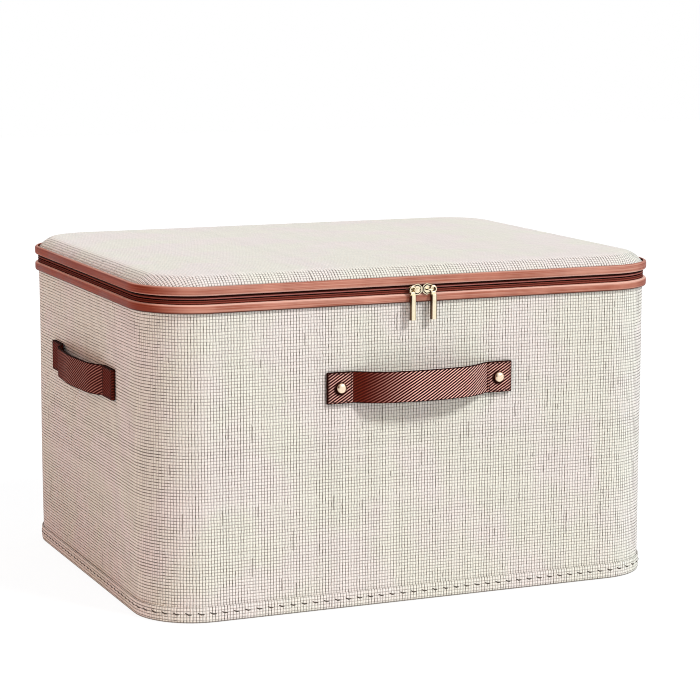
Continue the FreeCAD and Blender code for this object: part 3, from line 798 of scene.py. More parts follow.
wall_rows = np.arange(WALL_FOOT + ROW_STEP, WALL_TOP, ROW_STEP)
wall = band("wall_weave", WALL_FOOT, WALL_TOP, wall_rows, wall_swell, COVER_THICKNESS,
            side_step=25 * MM)
finish_cloth(wall, woven, 40)
dress(wall, "box", "woven_cover", "wall_cover")

# %% [markdown]
# At the foot the cloth is turned under into a thin round hem. A bevelled strip would look
# machined. Here the band's rows crowd towards both edges and follow a full, soft profile, and
# the stitches pull its upper half in a little, once every few millimetres.

# %% Bottom hem
hem_low, hem_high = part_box("bottom_hem")
HEM_FOOT, HEM_TOP = hem_low.z, hem_high.z
HEM_OUT = hem_high.y - HALF_Y
HEM_SEAT = 1.15 * MM
PULL_PITCH = 7 * MM


def hem_profile(along, height):
    share = (height - HEM_FOOT) / (HEM_TOP - HEM_FOOT)
    fullness = (1 - abs(2 * share - 1) ** 3) ** 0.5
    pull = 0.12 * MM * math.sin(along * 2 * math.pi / PULL_PITCH) * max(0.0, share - 0.5)
    return HEM_SEAT + (HEM_OUT - HEM_SEAT) * fullness + pull


hem_shares = np.array((0.03, 0.08, 0.16, 0.3, 0.5, 0.7, 0.84, 0.92, 0.97))
hem_rows = HEM_FOOT + (HEM_TOP - HEM_FOOT) * hem_shares
hem = band("hem_fold", HEM_FOOT, HEM_TOP, hem_rows, hem_profile, thickness=1 * MM)
finish_cloth(hem, woven_hem)
dress(hem, "box", "woven_cover", "bottom_hem")

# %% [markdown]
# Stitches and coil loops come by the hundred. An array along a curve would repeat them too,
# but its spacing drifts at the corners. Here one small shape is modelled, and its points are
# copied by a matrix for each place, into one mesh.

# %% Copies of one shape along a path
def add_object(name, data):
    obj = bpy.data.objects.new(name, data)
    bpy.context.scene.collection.objects.link(obj)
    return obj


def copies(name, unit, frames, material):
    """One mesh of many copies of a small shape, each put in place by a matrix."""
    points = np.array([vertex.co for vertex in unit.data.vertices])
    faces = [tuple(face.vertices) for face in unit.data.polygons]
    all_points, all_faces = [], []
    for matrix in frames:
        turned = points @ np.array(matrix.to_3x3()).T + np.array(matrix.translation)
        first = len(all_points) * len(points)
        all_points.append(turned)
        all_faces += [tuple(first + i for i in face) for face in faces]
    mesh = bpy.data.meshes.new(name)
    mesh.from_pydata(np.concatenate(all_points).tolist(), [], all_faces)
    obj = add_object(name, mesh)
    bpy.data.objects.remove(unit)
    mesh.polygons.foreach_set("use_smooth", [True] * len(mesh.polygons))
    finish_with(obj, material)
    return obj


def round_frame(along, out, height):
    """A matrix at a place on the plan: X along it, Y inwards, Z up."""
    place, direction = plan_point(along, out)
    ahead = Vector((-direction.y, direction.x, 0))
    inward = -direction
    matrix = Matrix((ahead, inward, ahead.cross(inward))).transposed().to_4x4()
    matrix.translation = place + Vector((0, 0, height))
    return matrix


# %% [markdown]
# The hem is whip-stitched all round with dark thread. One stitch starts as a six-sided
# cylinder. Its ends are drawn in where they enter the cloth, and one end is hooked upwards,
# because the needle goes in a little higher than it comes out.

# %% Hem stitches
def stitch_unit(length, radius):
    """A thread along X, full in its middle 60 percent and drawn in at both ends."""
    bpy.ops.mesh.primitive_cylinder_add(vertices=6, radius=radius, depth=length,
                                        rotation=(0, math.pi / 2, 0))
    unit = bpy.context.object
    bpy.ops.object.transform_apply(location=False, rotation=True, scale=False)
    bpy.ops.object.mode_set(mode="EDIT")
    cut(0, (-0.35 * length, 0, 0.35 * length))
    finish_edit()
    for vertex in unit.data.vertices:
        share = abs(vertex.co.x) / (length / 2)
        slim = 1 - 0.55 * max(0.0, share - 0.6) / 0.4
        vertex.co.y *= slim
        vertex.co.z *= slim
        vertex.co.y += radius * 0.9 * share ** 2
    return unit


STITCH_PITCH = 10.6 * MM
STITCH_RISE = 7.6 * MM
HOOK_LENGTH, HOOK_RISE = 3.6 * MM, 2.0 * MM
stitch_count = round(2 * HALF_ROUND / STITCH_PITCH)
stitch_step = 2 * HALF_ROUND / stitch_count
whip_stitch = stitch_unit(length=7.4 * MM, radius=0.68 * MM)
for vertex in whip_stitch.data.vertices:
    hook = max(0.0, -vertex.co.x / HOOK_LENGTH)
    vertex.co.z += HOOK_RISE * hook ** 1.5
stitch_frames = [round_frame((i + 0.5) * stitch_step - HALF_ROUND, HEM_OUT - HAIR,
                             HEM_FOOT + STITCH_RISE) for i in range(stitch_count)]
hem_stitches = copies("hem_stitches", whip_stitch, stitch_frames, grey_thread)
dress(hem_stitches, "box", "woven_cover")

# %% [markdown]
# Two leather bands frame the zip. Each is a pillow-shaped strip, drawn in at its edges where it
# is sewn down. A bevel would round the edges evenly, but a strip under tension is nearly flat
# with quick round shoulders, and a sixth power gives that profile.

# %% Leather bands
BAND_SEAT = 0.65 * MM
SHOULDER_SHARES = (0.4, 0.7, 0.84, 0.92, 0.97, 0.995)


def leather_band(name, node, body):
    low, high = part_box(node)
    reach = high.y - HALF_Y
    middle, half = (low.z + high.z) / 2, (high.z - low.z) / 2

    def profile(along, height):
        share = min(1.0, abs(height - middle) / half)
        return BAND_SEAT + (reach - BAND_SEAT) * (1 - share ** 6) ** 0.5

    shares = [-share for share in reversed(SHOULDER_SHARES)] + [0, *SHOULDER_SHARES]
    rows = [middle + half * share for share in shares]
    obj = band(name, low.z, high.z, rows, profile, thickness=0.75 * MM)
    finish_cloth(obj, leather)
    dress(obj, body, "binding", node)


leather_band("lower_leather_band", "lower_binding", "box")
leather_band("upper_leather_band", "upper_binding", "lid")

# %% [markdown]
# Between the bands lie the two zip tapes. Their ribs are real relief, because the low light
# from the side shows them: rows a fraction of a millimetre apart, moved in and out by a
# cosine. The ribs stop under the bands, where nobody sees them. At the back the tapes end, so
# the band's faces are deleted there and both ends are closed again.

# %% Zip tapes
GAP_HALF = strip_high.x + 1 * MM
RIB_HEIGHT = 0.22 * MM
BAND_LAP = 0.5 * MM


def close_ends(obj):
    """Close the two open ends of a strip, each with one face."""
    for side in (-1, 1):
        pick(obj, "EDGE", lambda edge: edge.is_boundary and edge.verts[0].co.x * side > 0)
        bpy.ops.mesh.edge_face_add()


def open_back(obj, half_gap):
    """Delete a band's faces across the back, where the hinge cloth takes over."""
    choose(obj)
    bpy.ops.object.mode_set(mode="EDIT")
    cut(0, (-half_gap, half_gap))
    pick(obj, "FACE", lambda face: face.calc_center_median().y > CORE_Y
         and abs(face.calc_center_median().x) < half_gap)
    bpy.ops.mesh.delete(type="FACE")
    close_ends(obj)
    finish_edit()


def zip_tape(name, node, body, visible_low, visible_high):
    low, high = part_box(node)
    outside = high.y - HALF_Y

    def profile(along, height):
        seen = visible_low < height < visible_high
        ribs = math.cos((height - RIB_PLACE) * 2 * math.pi / RIB_PITCH)
        return outside + (RIB_HEIGHT * (ribs - 1) if seen else 0.0)

    first_row = max(visible_low, low.z + HAIR)
    rows = np.arange(first_row, min(visible_high, high.z), RIB_PITCH / 8)
    obj = band(name, low.z, high.z, rows, profile, thickness=0.3 * MM)
    open_back(obj, GAP_HALF)
    finish_cloth(obj, tape_cloth)
    dress(obj, body, "zip_tape", node)


zip_tape("lower_zip_tape", "zip_tape_lower", "box", RECESS_LOW - BAND_LAP, strip_high.z)
zip_tape("upper_zip_tape", "zip_tape_upper", "lid", strip_low.z, RECESS_HIGH + BAND_LAP)

# %% [markdown]
# Behind the tapes runs the nylon coil, a row of loops on each side that hook into each other.
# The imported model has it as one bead. A spiral curve would be truer, but heavy: here one small
# torus is pressed oval and copied along the tape, and the upper row is shifted by half a loop.

# %% Nylon coils
LOOP_PITCH = 1.9 * MM
WIRE_RADIUS = 0.32 * MM
LOOP_DEPTH = 0.68 * MM
COIL_INSET = 0.92 * MM
RING_WIRE = 0.3


def zip_coil(name, node, body, shift):
    low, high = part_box(node)
    middle = (low.z + high.z) / 2
    loop_height = (high.z - low.z) / (2 * (1 + RING_WIRE))
    bpy.ops.mesh.primitive_torus_add(major_segments=12, minor_segments=4, major_radius=1,
                                     minor_radius=RING_WIRE, rotation=(0, math.pi / 2, 0))
    unit = bpy.context.object
    bpy.ops.object.transform_apply(location=False, rotation=True, scale=False)
    for vertex in unit.data.vertices:
        vertex.co *= Vector((WIRE_RADIUS / RING_WIRE, LOOP_DEPTH, loop_height))
    half_run = HALF_ROUND - GAP_HALF - 1 * MM
    count = int(2 * half_run / LOOP_PITCH)
    places = [-half_run + (i + shift) * LOOP_PITCH for i in range(count)]
    frames = [round_frame(place, -COIL_INSET, middle) for place in places]
    dress(copies(name, unit, frames, nylon), body, "zip_coil", node)


zip_coil("lower_zip_coil", "zip_coil_lower", "box", shift=0.25)
zip_coil("upper_zip_coil", "zip_coil_upper", "lid", shift=0.75)

# %% [markdown]
# The lid is a padded panel: its cloth is drawn over foam, so it leaves the band steeply and
# eases into a nearly flat top. Cloth simulation would only blur that tight curve. A block gets
# its upright edges bevelled, then its top edge, and its top face is inset a few times, so
# that there are rows to carry the curve.

# %% Pillow form
EDGE_RADIUS = 12.6 * MM
SLOPE_DROP = 1.2 * MM
SLOPE_WIDTH = 15 * MM
SLOPE_BEND = 1.4
CROWN_WIDTH = 60 * MM


def inward_depth(spot):
    """How far inside the plan's edge a point lies."""
    core_x = max(abs(spot.x) - CORE_X, 0.0)
    core_y = max(abs(spot.y) - CORE_Y, 0.0)
    if core_x == 0 and core_y == 0:
        return CORNER + min(CORE_X - abs(spot.x), CORE_Y - abs(spot.y))
    return CORNER - math.hypot(core_x, core_y)


def edge_curve(share):
    """The round of the soft edge: steep at 0, level at 1."""
    return (1 - (1 - share) ** SLOPE_BEND) ** (1 / SLOPE_BEND)


def pillow(name, out, foot, crest, closed):
    """A block over the plan whose top falls away in a soft curve towards its sides."""
    obj = rounded_block(name, out, foot, crest)
    if not closed:
        pick(obj, "FACE", lambda face: face.normal.z < -0.9)
        bpy.ops.mesh.delete(type="FACE")
    pick(obj, "EDGE", lambda edge: all(vertex.co.z > crest - TINY for vertex in edge.verts))
    bpy.ops.mesh.bevel(offset=EDGE_RADIUS, segments=10, affect="EDGES")
    pick(obj, "FACE", lambda face: face.normal.z > 0.999 and len(face.verts) > 20)
    for inset_width in (4, 5, 6, 7, 8, 9):
        bpy.ops.mesh.inset(thickness=inset_width * MM)
    cut_sides(8, 6)
    finish_edit()
    for vertex in obj.data.vertices:
        if vertex.co.z > crest - EDGE_RADIUS + TINY:
            depth = out + inward_depth(vertex.co)
            far = min(1.0, depth / SLOPE_WIDTH)
            rise = min(1.0, max(0.0, (depth - SLOPE_WIDTH) / CROWN_WIDTH))
            vertex.co.z = crest - EDGE_RADIUS + (EDGE_RADIUS - SLOPE_DROP) * edge_curve(far)
            vertex.co.z += SLOPE_DROP * rise * rise * (3 - 2 * rise)
    return obj


# %% [markdown]
# The lid's cloth lay flat before it was drawn over the edge. A map straight from above would
# squeeze the threads together there. So the length of the curve is added up from the middle
# outwards, and each point takes the place that it had in the flat cloth.

# %% Lid cover
lid_low, lid_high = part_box("lid_cover")
lid = pillow("lid_weave", 0, lid_low.z, lid_high.z, closed=False)
apply_modifier(lid, "SOLIDIFY", thickness=COVER_THICKNESS, offset=-1)
depths = np.linspace(0, CORNER, 400)
fall = (EDGE_RADIUS - SLOPE_DROP) * edge_curve(np.minimum(1, depths / SLOPE_WIDTH))
runs = np.concatenate(([0], np.cumsum(np.hypot(np.diff(depths), np.diff(fall)))))


def over_the_edge(corner, centre):
    """Where the lid's cloth lay before it was drawn over the soft edge."""
    depth = inward_depth(corner)
    if depth >= CORNER - TINY:
        return corner.x, corner.y
    along, out = plan_place(corner.x, corner.y)
    core_x = min(max(corner.x, -CORE_X), CORE_X)
    core_y = min(max(corner.y, -CORE_Y), CORE_Y)
    spread = runs[-1] - np.interp(max(depth, 0.0), depths, runs)
    spread += max(0.0, lid_high.z - EDGE_RADIUS - corner.z)
    return core_x + out.x * spread, core_y + out.y * spread


finish_cloth(lid, woven, 60, over_the_edge)
dress(lid, "lid", "woven_cover", "lid_cover")
turn_in = runs[-1] + lid_high.z - EDGE_RADIUS - lid_low.z
lid_cut = (2 * (CORE_X + turn_in), 2 * (CORE_Y + turn_in))
lid_cut[0] * lid_cut[1] - (4 - math.pi) * turn_in ** 2

# %% [markdown]
# The pad between the lid's board and its cloth is foam, cut to the same plan. It is made like
# the lid, a little smaller and closed at its foot, so that it fills the cloth without coming
# through it.

# %% Lid pad
PAD_INSET, PAD_DEPTH = 1.3 * MM, 1.4 * MM
pad_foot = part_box("lid_board")[1].z + 2 * HAIR
pad = pillow("lid_pad", -PAD_INSET, pad_foot, lid_high.z - PAD_DEPTH, closed=True)
smooth(pad, 60)
finish_with(pad, lining)
dress(pad, "lid", "foam", "lid_foam")

# %% [markdown]
# Across the back there is no zip: a strip of tape cloth joins the lid to the box and bends as the
# lid opens. It could be simulated, but a short cloth glued on both sides has only one way to bend.
# It is a plain band, cut down to its back stretch.

# %% Hinge cloth
HINGE_OUT = 0.45 * MM
hinge_rows = np.linspace(strip_low.z, strip_high.z, 32)[1:-1]
hinge = band("hinge_cloth", strip_low.z, strip_high.z, hinge_rows,
             lambda along, height: HINGE_OUT, thickness=0.4 * MM)
bpy.ops.object.mode_set(mode="EDIT")
cut(0, (strip_low.x, strip_high.x))
pick(hinge, "FACE", lambda face: face.calc_center_median().y < CORE_Y
     or abs(face.calc_center_median().x) > strip_high.x)
bpy.ops.mesh.delete(type="FACE")
close_ends(hinge)
finish_edit()
finish_cloth(hinge, tape_cloth)
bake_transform(hinge)
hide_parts("hinge_strip")
print(hinge.name, len(hinge.data.polygons), "faces")

# %% [markdown]
# A handle is one length of webbing. Each end is folded back on itself into a double tab, and
# between the tabs the strap bows away from the wall. A curve object with a flat bevel would
# twist at the folds. So the route is drawn as straight runs with round corners, and a walk
# along it gives the place and heading at any length.

# %% Route of a strap
def rounded_route(corners, step=1 * MM):
    """Points along straight runs whose corners are arcs, from (along, out, radius) corners."""
    points = [Vector(corner[:2]) for corner in corners]
    route = [points[0]]
    for i in range(1, len(points) - 1):
        radius = corners[i][2]
        back = (points[i - 1] - points[i]).normalized()
        ahead = (points[i + 1] - points[i]).normalized()
        half_angle = back.angle(ahead) / 2
        reach = radius / math.tan(half_angle)
        centre = points[i] + (back + ahead).normalized() * (radius / math.sin(half_angle))
        start, stop = points[i] + back * reach, points[i] + ahead * reach
        turn = (start - centre).angle_signed(stop - centre)
        count = max(4, int(abs(turn) * radius / step))
        for k in range(count + 1):
            route.append(centre + Matrix.Rotation(-turn * k / count, 2) @ (start - centre))
    route.append(points[-1])
    return route


def route_walk(route):
    """The length of a route, and a function from a length to its point and heading."""
    steps = [(b - a).length for a, b in zip(route, route[1:])]
    lengths = np.concatenate(([0], np.cumsum(steps)))
    xs, ys = np.array(route).T

    def point_at(run):
        return Vector((np.interp(run, lengths, xs), np.interp(run, lengths, ys)))

    def walk(run):
        inside = min(max(run, 0.0), lengths[-1])
        heading = point_at(inside + 0.3 * MM) - point_at(inside - 0.3 * MM)
        heading.normalize()
        return point_at(inside) + heading * (run - inside), heading

    return lengths[-1], walk


# %% [markdown]
# The box has three handles. They differ in length, bow and painted light, so each is one row of
# named sizes. The front one hangs on two rivets, and its crests get a strong painted highlight. The
# side ones are only sewn, and get little painted highlight.

# %% Sizes of the handles
STRAP_THICKNESS = 1.96 * MM
STRAP_LAYER = 2 * MM
STRAP_SEAT = 0.12 * MM
RIVET_X = 77 * MM


def on_front(along, out, height):
    return Vector((along, -HALF_Y - out, height))


def on_left(along, out, height):
    return Vector((-HALF_X - out, -along, height))


def on_right(along, out, height):
    return Vector((HALF_X + out, -along, height))


def front_painted_light(along, tab_edge):
    """How much painted highlight the ridges get: most from the bow's middle rightwards, much on the
    tabs, none at the bow's left, which stays in painted shade.
    """
    if abs(along) > tab_edge:
        return 0.75
    return min(1.0, max(0.0, (along + tab_edge - 8 * MM) / (46 * MM))) ** 1.3


# Painted light of the side straps: a weak painted highlight on the bow, almost none on the tabs.
def side_painted_light(along, tab_edge):
    if abs(along) > tab_edge:
        return 0.03
    return 0.27 * min(1.0, max(0.0, (along + tab_edge) / (60 * MM))) ** 1.3


# Each handle also carries its painted light along the strap and the strength of the painted shade at
# its folded ends.
Handle = namedtuple("Handle", "side wall half_length tab rise shoulder bow wear end_rim rivet_x")
SIDE_SIZES = (94.3 * MM, 27 * MM, 15 * MM, 11 * MM, 15 * MM, side_painted_light, 0.3, None)
handles = [Handle("front", on_front, 89.5 * MM, 23.5 * MM, 22 * MM, 16 * MM, 22 * MM,
                  front_painted_light, 1.0, RIVET_X),
           Handle("left", on_left, *SIDE_SIZES), Handle("right", on_right, *SIDE_SIZES)]
for handle in handles:
    print(handle.side, "handle", round(2 * handle.half_length, 4), "m long")

# %% [markdown]
# The strap itself is a grid laid out flat at its full length, given its thickness and a small bevel,
# and then each point is carried to its place on the route. The flat grid also gives the cloth map
# and the two attributes that the webbing material reads: where the rims are, with a painted shadow
# round each rivet and at the folds, and how much painted highlight the ridges get.

# %% Webbing handles
def strap_corners(handle):
    """The route of a folded strap: top layer, fold, bottom layer, bow, and the same mirrored."""
    lower, upper = STRAP_SEAT + STRAP_LAYER / 2, STRAP_SEAT + 1.5 * STRAP_LAYER
    end, tab_end = handle.half_length, handle.half_length - handle.tab
    fold = 0.495 * STRAP_LAYER
    side = [(-tab_end, upper, 0), (-end, upper, fold), (-end, lower, fold),
            (-tab_end, lower, 14 * MM), (-tab_end + handle.rise, handle.shoulder, 40 * MM)]
    mirrored = [(-along, out, radius) for along, out, radius in reversed(side)]
    return side + [(0, handle.bow, 200 * MM)] + mirrored


def rim_and_shadow_share(handle, spot, beside, half_width):
    """1 on the woven rims, and painted shadow round the rivets and at the strap's folds."""
    rim = float(abs(beside) > half_width - 0.75 * MM)
    # Painted shade at the folded ends.
    if abs(spot.x) > handle.half_length - 1.3 * MM:
        rim = max(rim, handle.end_rim)
    # Painted shadow of each rivet head, a ring a little down and to the left of it.
    if handle.rivet_x:
        off_rivet = math.hypot(abs(spot.x + 1.1 * MM) - handle.rivet_x, beside + 0.7 * MM)
        rim = max(rim, min(1.0, max(0.0, (6.9 * MM - off_rivet) / (1.4 * MM))))
    return rim


def strap(handle):
    """Bend a flat woven strip along the handle's route and place it on its wall."""
    low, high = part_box(f"{handle.side}_handle_strap")
    width, middle = high.z - low.z, (high.z + low.z) / 2
    total, walk = route_walk(rounded_route(strap_corners(handle)))
    bpy.ops.mesh.primitive_grid_add(x_subdivisions=int(total / (1.1 * MM)), y_subdivisions=24,
                                    size=1)
    obj = bpy.context.object
    obj.name = f"{handle.side}_webbing"
    for vertex in obj.data.vertices:
        vertex.co.x = (vertex.co.x + 0.5) * total
        vertex.co.y *= width
    apply_modifier(obj, "SOLIDIFY", thickness=STRAP_THICKNESS, offset=0)
    apply_modifier(obj, "BEVEL", width=0.45 * MM, segments=2, limit_method="ANGLE",
                   angle_limit=math.radians(60))
    places, rim_and_shadow_shares, painted_highlight = [], [], []
    for vertex in obj.data.vertices:
        spot, heading = walk(vertex.co.x)
        spot += Vector((-heading.y, heading.x)) * vertex.co.z
        rim_and_shadow_shares.append(rim_and_shadow_share(handle, spot, vertex.co.y, width / 2))
        painted_highlight.append(handle.wear(spot.x, handle.half_length - handle.tab))
        vertex.co = handle.wall(spot.x, spot.y, middle + vertex.co.y)
        places.append((spot.x, vertex.co.z))
    layer = obj.data.uv_layers.active or obj.data.uv_layers.new(name="cloth")
    layer.name = "cloth"
    for loop in obj.data.loops:
        layer.data[loop.index].uv = places[loop.vertex_index]
    for title, values in (("rim", rim_and_shadow_shares), ("painted_highlight", painted_highlight)):
        obj.data.attributes.new(title, "FLOAT", "POINT").data.foreach_set("value", values)
    bpy.ops.object.mode_set(mode="EDIT")
    bpy.ops.mesh.select_all(action="SELECT")
    bpy.ops.mesh.normals_make_consistent(inside=False)
    finish_edit()
    smooth(obj, 50)
    finish_with(obj, webbing)
    dress(obj, "box", "webbing", f"{handle.side}_handle_strap")


for handle in handles:
    strap(handle)

# %% [markdown]
# Each double tab is sewn down with a square of stitches. They are too small for a bump to be
# sure of them from near, so they are real threads, copied along the four sides of each tab.

# %% Tab stitches
TAB_FACE = STRAP_SEAT + 2 * STRAP_LAYER - 0.05 * MM
SEAM_INSET = 1.7 * MM
SEAM_PITCH = 2.6 * MM


def tab_stitches(handle):
    """Rows of stitches round each double tab."""
    low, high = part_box(f"{handle.side}_handle_strap")
    inner = handle.half_length - handle.tab + SEAM_INSET
    outer = handle.half_length - SEAM_INSET
    foot, top = low.z + SEAM_INSET, high.z - SEAM_INSET
    rows = [((inner, foot), (outer, foot)), ((inner, top), (outer, top)),
            ((inner, foot), (inner, top)), ((outer, foot), (outer, top))]
    origin = handle.wall(0, 0, 0)
    inward = handle.wall(0, -1, 0) - origin
    frames = []
    for side in (-1, 1):
        for start, stop in rows:
            start, stop = Vector(start), Vector(stop)
            count = round((stop - start).length / SEAM_PITCH)
            ahead = (stop - start).normalized()
            x_axis = handle.wall(ahead.x, 0, ahead.y) - origin
            for k in range(count):
                spot = start.lerp(stop, (k + 0.5) / count)
                matrix = Matrix((x_axis, inward, x_axis.cross(inward))).transposed().to_4x4()
                matrix.translation = handle.wall(side * spot.x, TAB_FACE, spot.y)
                frames.append(matrix)
    name = f"{handle.side}_tab_stitches"
    stitch = stitch_unit(length=2.3 * MM, radius=0.42 * MM)
    stitches = copies(name, stitch, frames, maroon_thread)
    dress(stitches, "box", "webbing")


for handle in handles:
    tab_stitches(handle)

# %% [markdown]
# Inside, the edges of the boards are bound with a narrow cloth tape, so that no raw edge shows
# when the lid is up. It could be folded from one strip, but only its faces are ever seen. On
# the box it is a flat ring over the rim and a strip down the inside, joined into one piece.
# Under the lid it is one flat ring.

# %% Rim tapes
def join(name, parts):
    choose(parts[0])
    for part in parts:
        part.select_set(True)
    bpy.ops.object.join()
    parts[0].name = name
    return parts[0]


def trim_ring(name, foot, top, inset, thickness):
    """A flat ring of trim tape inside the plan."""
    obj = band(name, foot, top, (), lambda along, height: -inset, thickness)
    finish_cloth(obj, trim_cloth, 40)
    return obj


TAPE = 0.6 * MM
RIM_DEPTH = 12 * MM
rim_top = WALL_TOP + TAPE + HAIR
rim_fold = trim_ring("rim_fold", rim_top - TAPE, rim_top, inset=HAIR, thickness=5.0 * MM)
rim_inside = trim_ring("rim_inside", rim_top - RIM_DEPTH, rim_top - HAIR, inset=4.8 * MM,
                       thickness=0.5 * MM)
rim = join("rim_tape", [rim_inside, rim_fold])
dress(rim, "box", "zip_tape")
lid_rim = trim_ring("lid_rim_tape", lid_low.z - TAPE, lid_low.z - HAIR, inset=HAIR,
                    thickness=9 * MM)
dress(lid_rim, "lid", "zip_tape")

# %% [markdown]
# The two rivets of the front handle were turned on a lathe and pressed. A cylinder with a
# bevel would miss their low dome. So half of the section is drawn, from the middle of the head
# out to its edge and back down the shank, and spun round, as the lathe does it.

# %% Rivets
def turned_piece(name, section, steps=36):
    """Spin a half section of (radius, height) points about Z."""
    mesh = bpy.data.meshes.new(name)
    mesh.from_pydata([(radius, 0, height) for radius, height in section],
                     [(i, i + 1) for i in range(len(section) - 1)], [])
    obj = add_object(name, mesh)
    choose(obj)
    bpy.ops.object.mode_set(mode="EDIT")
    bpy.ops.mesh.select_all(action="SELECT")
    bpy.ops.mesh.spin(steps=steps, angle=2 * math.pi, center=(0, 0, 0), axis=(0, 0, 1))
    bpy.ops.mesh.select_all(action="SELECT")
    bpy.ops.mesh.remove_doubles(threshold=10 * TINY)
    bpy.ops.mesh.normals_make_consistent(inside=False)
    finish_edit()
    return obj


rivet_low, rivet_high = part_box("front_rivets")
HEAD_HEIGHT = 3.4 * MM
SHANK = 1.5 * MM
rivet_z = (rivet_low.z + rivet_high.z) / 2
head_seat = -rivet_low.y - HEAD_HEIGHT
shank_end = -rivet_high.y - head_seat
dome = [(0, 3.4), (1.2, 3.34), (2.3, 3.12), (3.3, 2.7), (4.1, 2.05), (4.62, 1.3), (4.8, 0.6),
        (4.74, 0.15), (4.5, 0)]
head_section = [(radius * MM, height * MM) for radius, height in dome]
head_section += [(SHANK, 0), (SHANK, shank_end), (0, shank_end)]
outwards = Matrix.Rotation(math.pi / 2, 4, "X")
rivets = []
for side in (-1, 1):
    rivet = turned_piece("rivet", head_section)
    stand = Matrix.Translation((side * RIVET_X, -head_seat, rivet_z))
    rivet.data.transform(stand @ outwards)
    rivets.append(rivet)
rivet_pair = join("brass_rivets", rivets)
smooth(rivet_pair, 35)
finish_with(rivet_pair, rivet_brass)
dress(rivet_pair, "box", "brass", "front_rivets")

# %% [markdown]
# Each zip slider is a small cast shield with a raised middle inside a dark groove. Sculpting
# it would be slow. An outline is bevelled at its corners and extruded, its face is inset and
# sunk for the groove, and inset again and raised for the middle. The groove gets the dark
# material while it is still selected. Two blocks behind it are the post and the plate that
# holds the coils.

# %% Slider body
body_low, body_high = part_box("right_slider_body")
PLATE_THICKNESS = 1.2 * MM
GROOVE_DEPTH, MIDDLE_HEIGHT = 0.3 * MM, 0.75 * MM
BORDER_WIDTH, GROOVE_WIDTH = 0.7 * MM, 0.9 * MM
NEAR_X, FAR_X = 0.3 * MM, 12.7 * MM
POST_NEAR, POST_FAR, POST_HALF = 1.2 * MM, 5.2 * MM, 0.4 * MM
INNER_THICKNESS, INNER_DROP = 0.9 * MM, 3.2 * MM
PULL_X = 10 * MM
plate_front = -body_low.y
plate_back = plate_front - PLATE_THICKNESS
shield_corners = [(0.3, -2.6), (4, -5.2), (12.7, -2.6), (12.7, 2.6), (4, 5.2), (0.3, 2.6)]
shield_corners = [(x * MM, ZIP_MIDDLE + z * MM) for x, z in shield_corners]


def push(distance):
    """Extrude the selected faces outwards, along -Y."""
    bpy.ops.mesh.extrude_region_move(TRANSFORM_OT_translate={"value": (0, -distance, 0)})


def plate(outline_corners, inside, outside, rounding):
    """A flat plate on the front: corners in X and Z, thickness along -Y."""
    bpy.ops.mesh.primitive_circle_add(vertices=len(outline_corners), fill_type="NGON",
                                      rotation=(math.pi / 2, 0, 0))
    obj = bpy.context.object
    bpy.ops.object.transform_apply(location=False, rotation=True, scale=False)
    for vertex, (x, z) in zip(obj.data.vertices, outline_corners):
        vertex.co = (x, -inside, z)
    bpy.ops.object.mode_set(mode="EDIT")
    bpy.ops.mesh.select_all(action="SELECT")
    bpy.ops.mesh.bevel(offset=rounding, segments=3, affect="VERTICES")
    bpy.ops.mesh.select_all(action="SELECT")
    push(outside - inside)
    return obj


def slider_body():
    face = plate_front - (MIDDLE_HEIGHT - GROOVE_DEPTH)
    shield = plate(shield_corners, plate_back, face, rounding=1 * MM)
    pick(shield, "FACE", lambda face: face.normal.y < -0.9
         and face.calc_center_median().y < -plate_back - TINY)
    bpy.ops.mesh.inset(thickness=BORDER_WIDTH)
    push(-GROOVE_DEPTH)
    shield.data.materials.append(brass)
    shield.data.materials.append(grooved_brass)
    shield.active_material_index = 1
    bpy.ops.object.material_slot_assign()
    bpy.ops.mesh.inset(thickness=GROOVE_WIDTH)
    shield.active_material_index = 0
    bpy.ops.object.material_slot_assign()
    push(MIDDLE_HEIGHT)
    finish_edit()
    apply_modifier(shield, "BEVEL", width=0.16 * MM, segments=2, limit_method="ANGLE",
                   angle_limit=math.radians(35))
    post = block((POST_NEAR, -plate_back - HAIR, ZIP_MIDDLE - POST_HALF),
                 (POST_FAR, body_high.y - 2 * HAIR, ZIP_MIDDLE + POST_HALF))
    inner = block((NEAR_X, body_high.y - INNER_THICKNESS, ZIP_MIDDLE - INNER_DROP),
                  (FAR_X, body_high.y, ZIP_MIDDLE + POST_HALF))
    return join("slider", [shield, post, inner])


# %% [markdown]
# A bent wire on the shield, the bail, carries the pull. A curve with a round bevel is made for
# wire: its points go straight out of the shield, round a quarter circle, across, and back in
# the same way. Converting it to a mesh at the end lets it join the other pieces.

# %% Bail
def round_wire(points, radius):
    """A tube of round section through a few points, as a mesh."""
    curve = bpy.data.curves.new("wire", "CURVE")
    curve.dimensions = "3D"
    curve.bevel_depth = radius
    curve.bevel_resolution = 3
    curve.use_fill_caps = True
    spline = curve.splines.new("POLY")
    spline.points.add(len(points) - 1)
    for spot, point in zip(spline.points, points):
        spot.co = (*point, 1)
    choose(add_object("wire", curve))
    bpy.ops.object.convert(target="MESH")
    return bpy.context.object


def bail_loop():
    foot = plate_front - 2 * HAIR
    reach = -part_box("right_slider_bail")[0].y - 0.75 * MM
    bend = 2.4 * MM
    left, right = 3.2 * MM, PULL_X
    points = [(left, -foot, ZIP_MIDDLE)]
    for centre, start in ((left + bend, math.pi), (right - bend, math.pi / 2)):
        for k in range(7):
            angle = start - k * math.pi / 12
            depth = reach - bend + bend * math.sin(angle)
            points.append((centre + bend * math.cos(angle), -depth, ZIP_MIDDLE))
    points.append((right, -foot, ZIP_MIDDLE))
    return round_wire(points, radius=0.72 * MM)


# %% [markdown]
# The pull hangs on the bail by an eye. It is a torus, a bar whose front edges are rounded, and
# a short neck between them. They could be merged with booleans, but in one casting the seams
# are hidden by the neck, so overlapping parts joined into one object do as well.

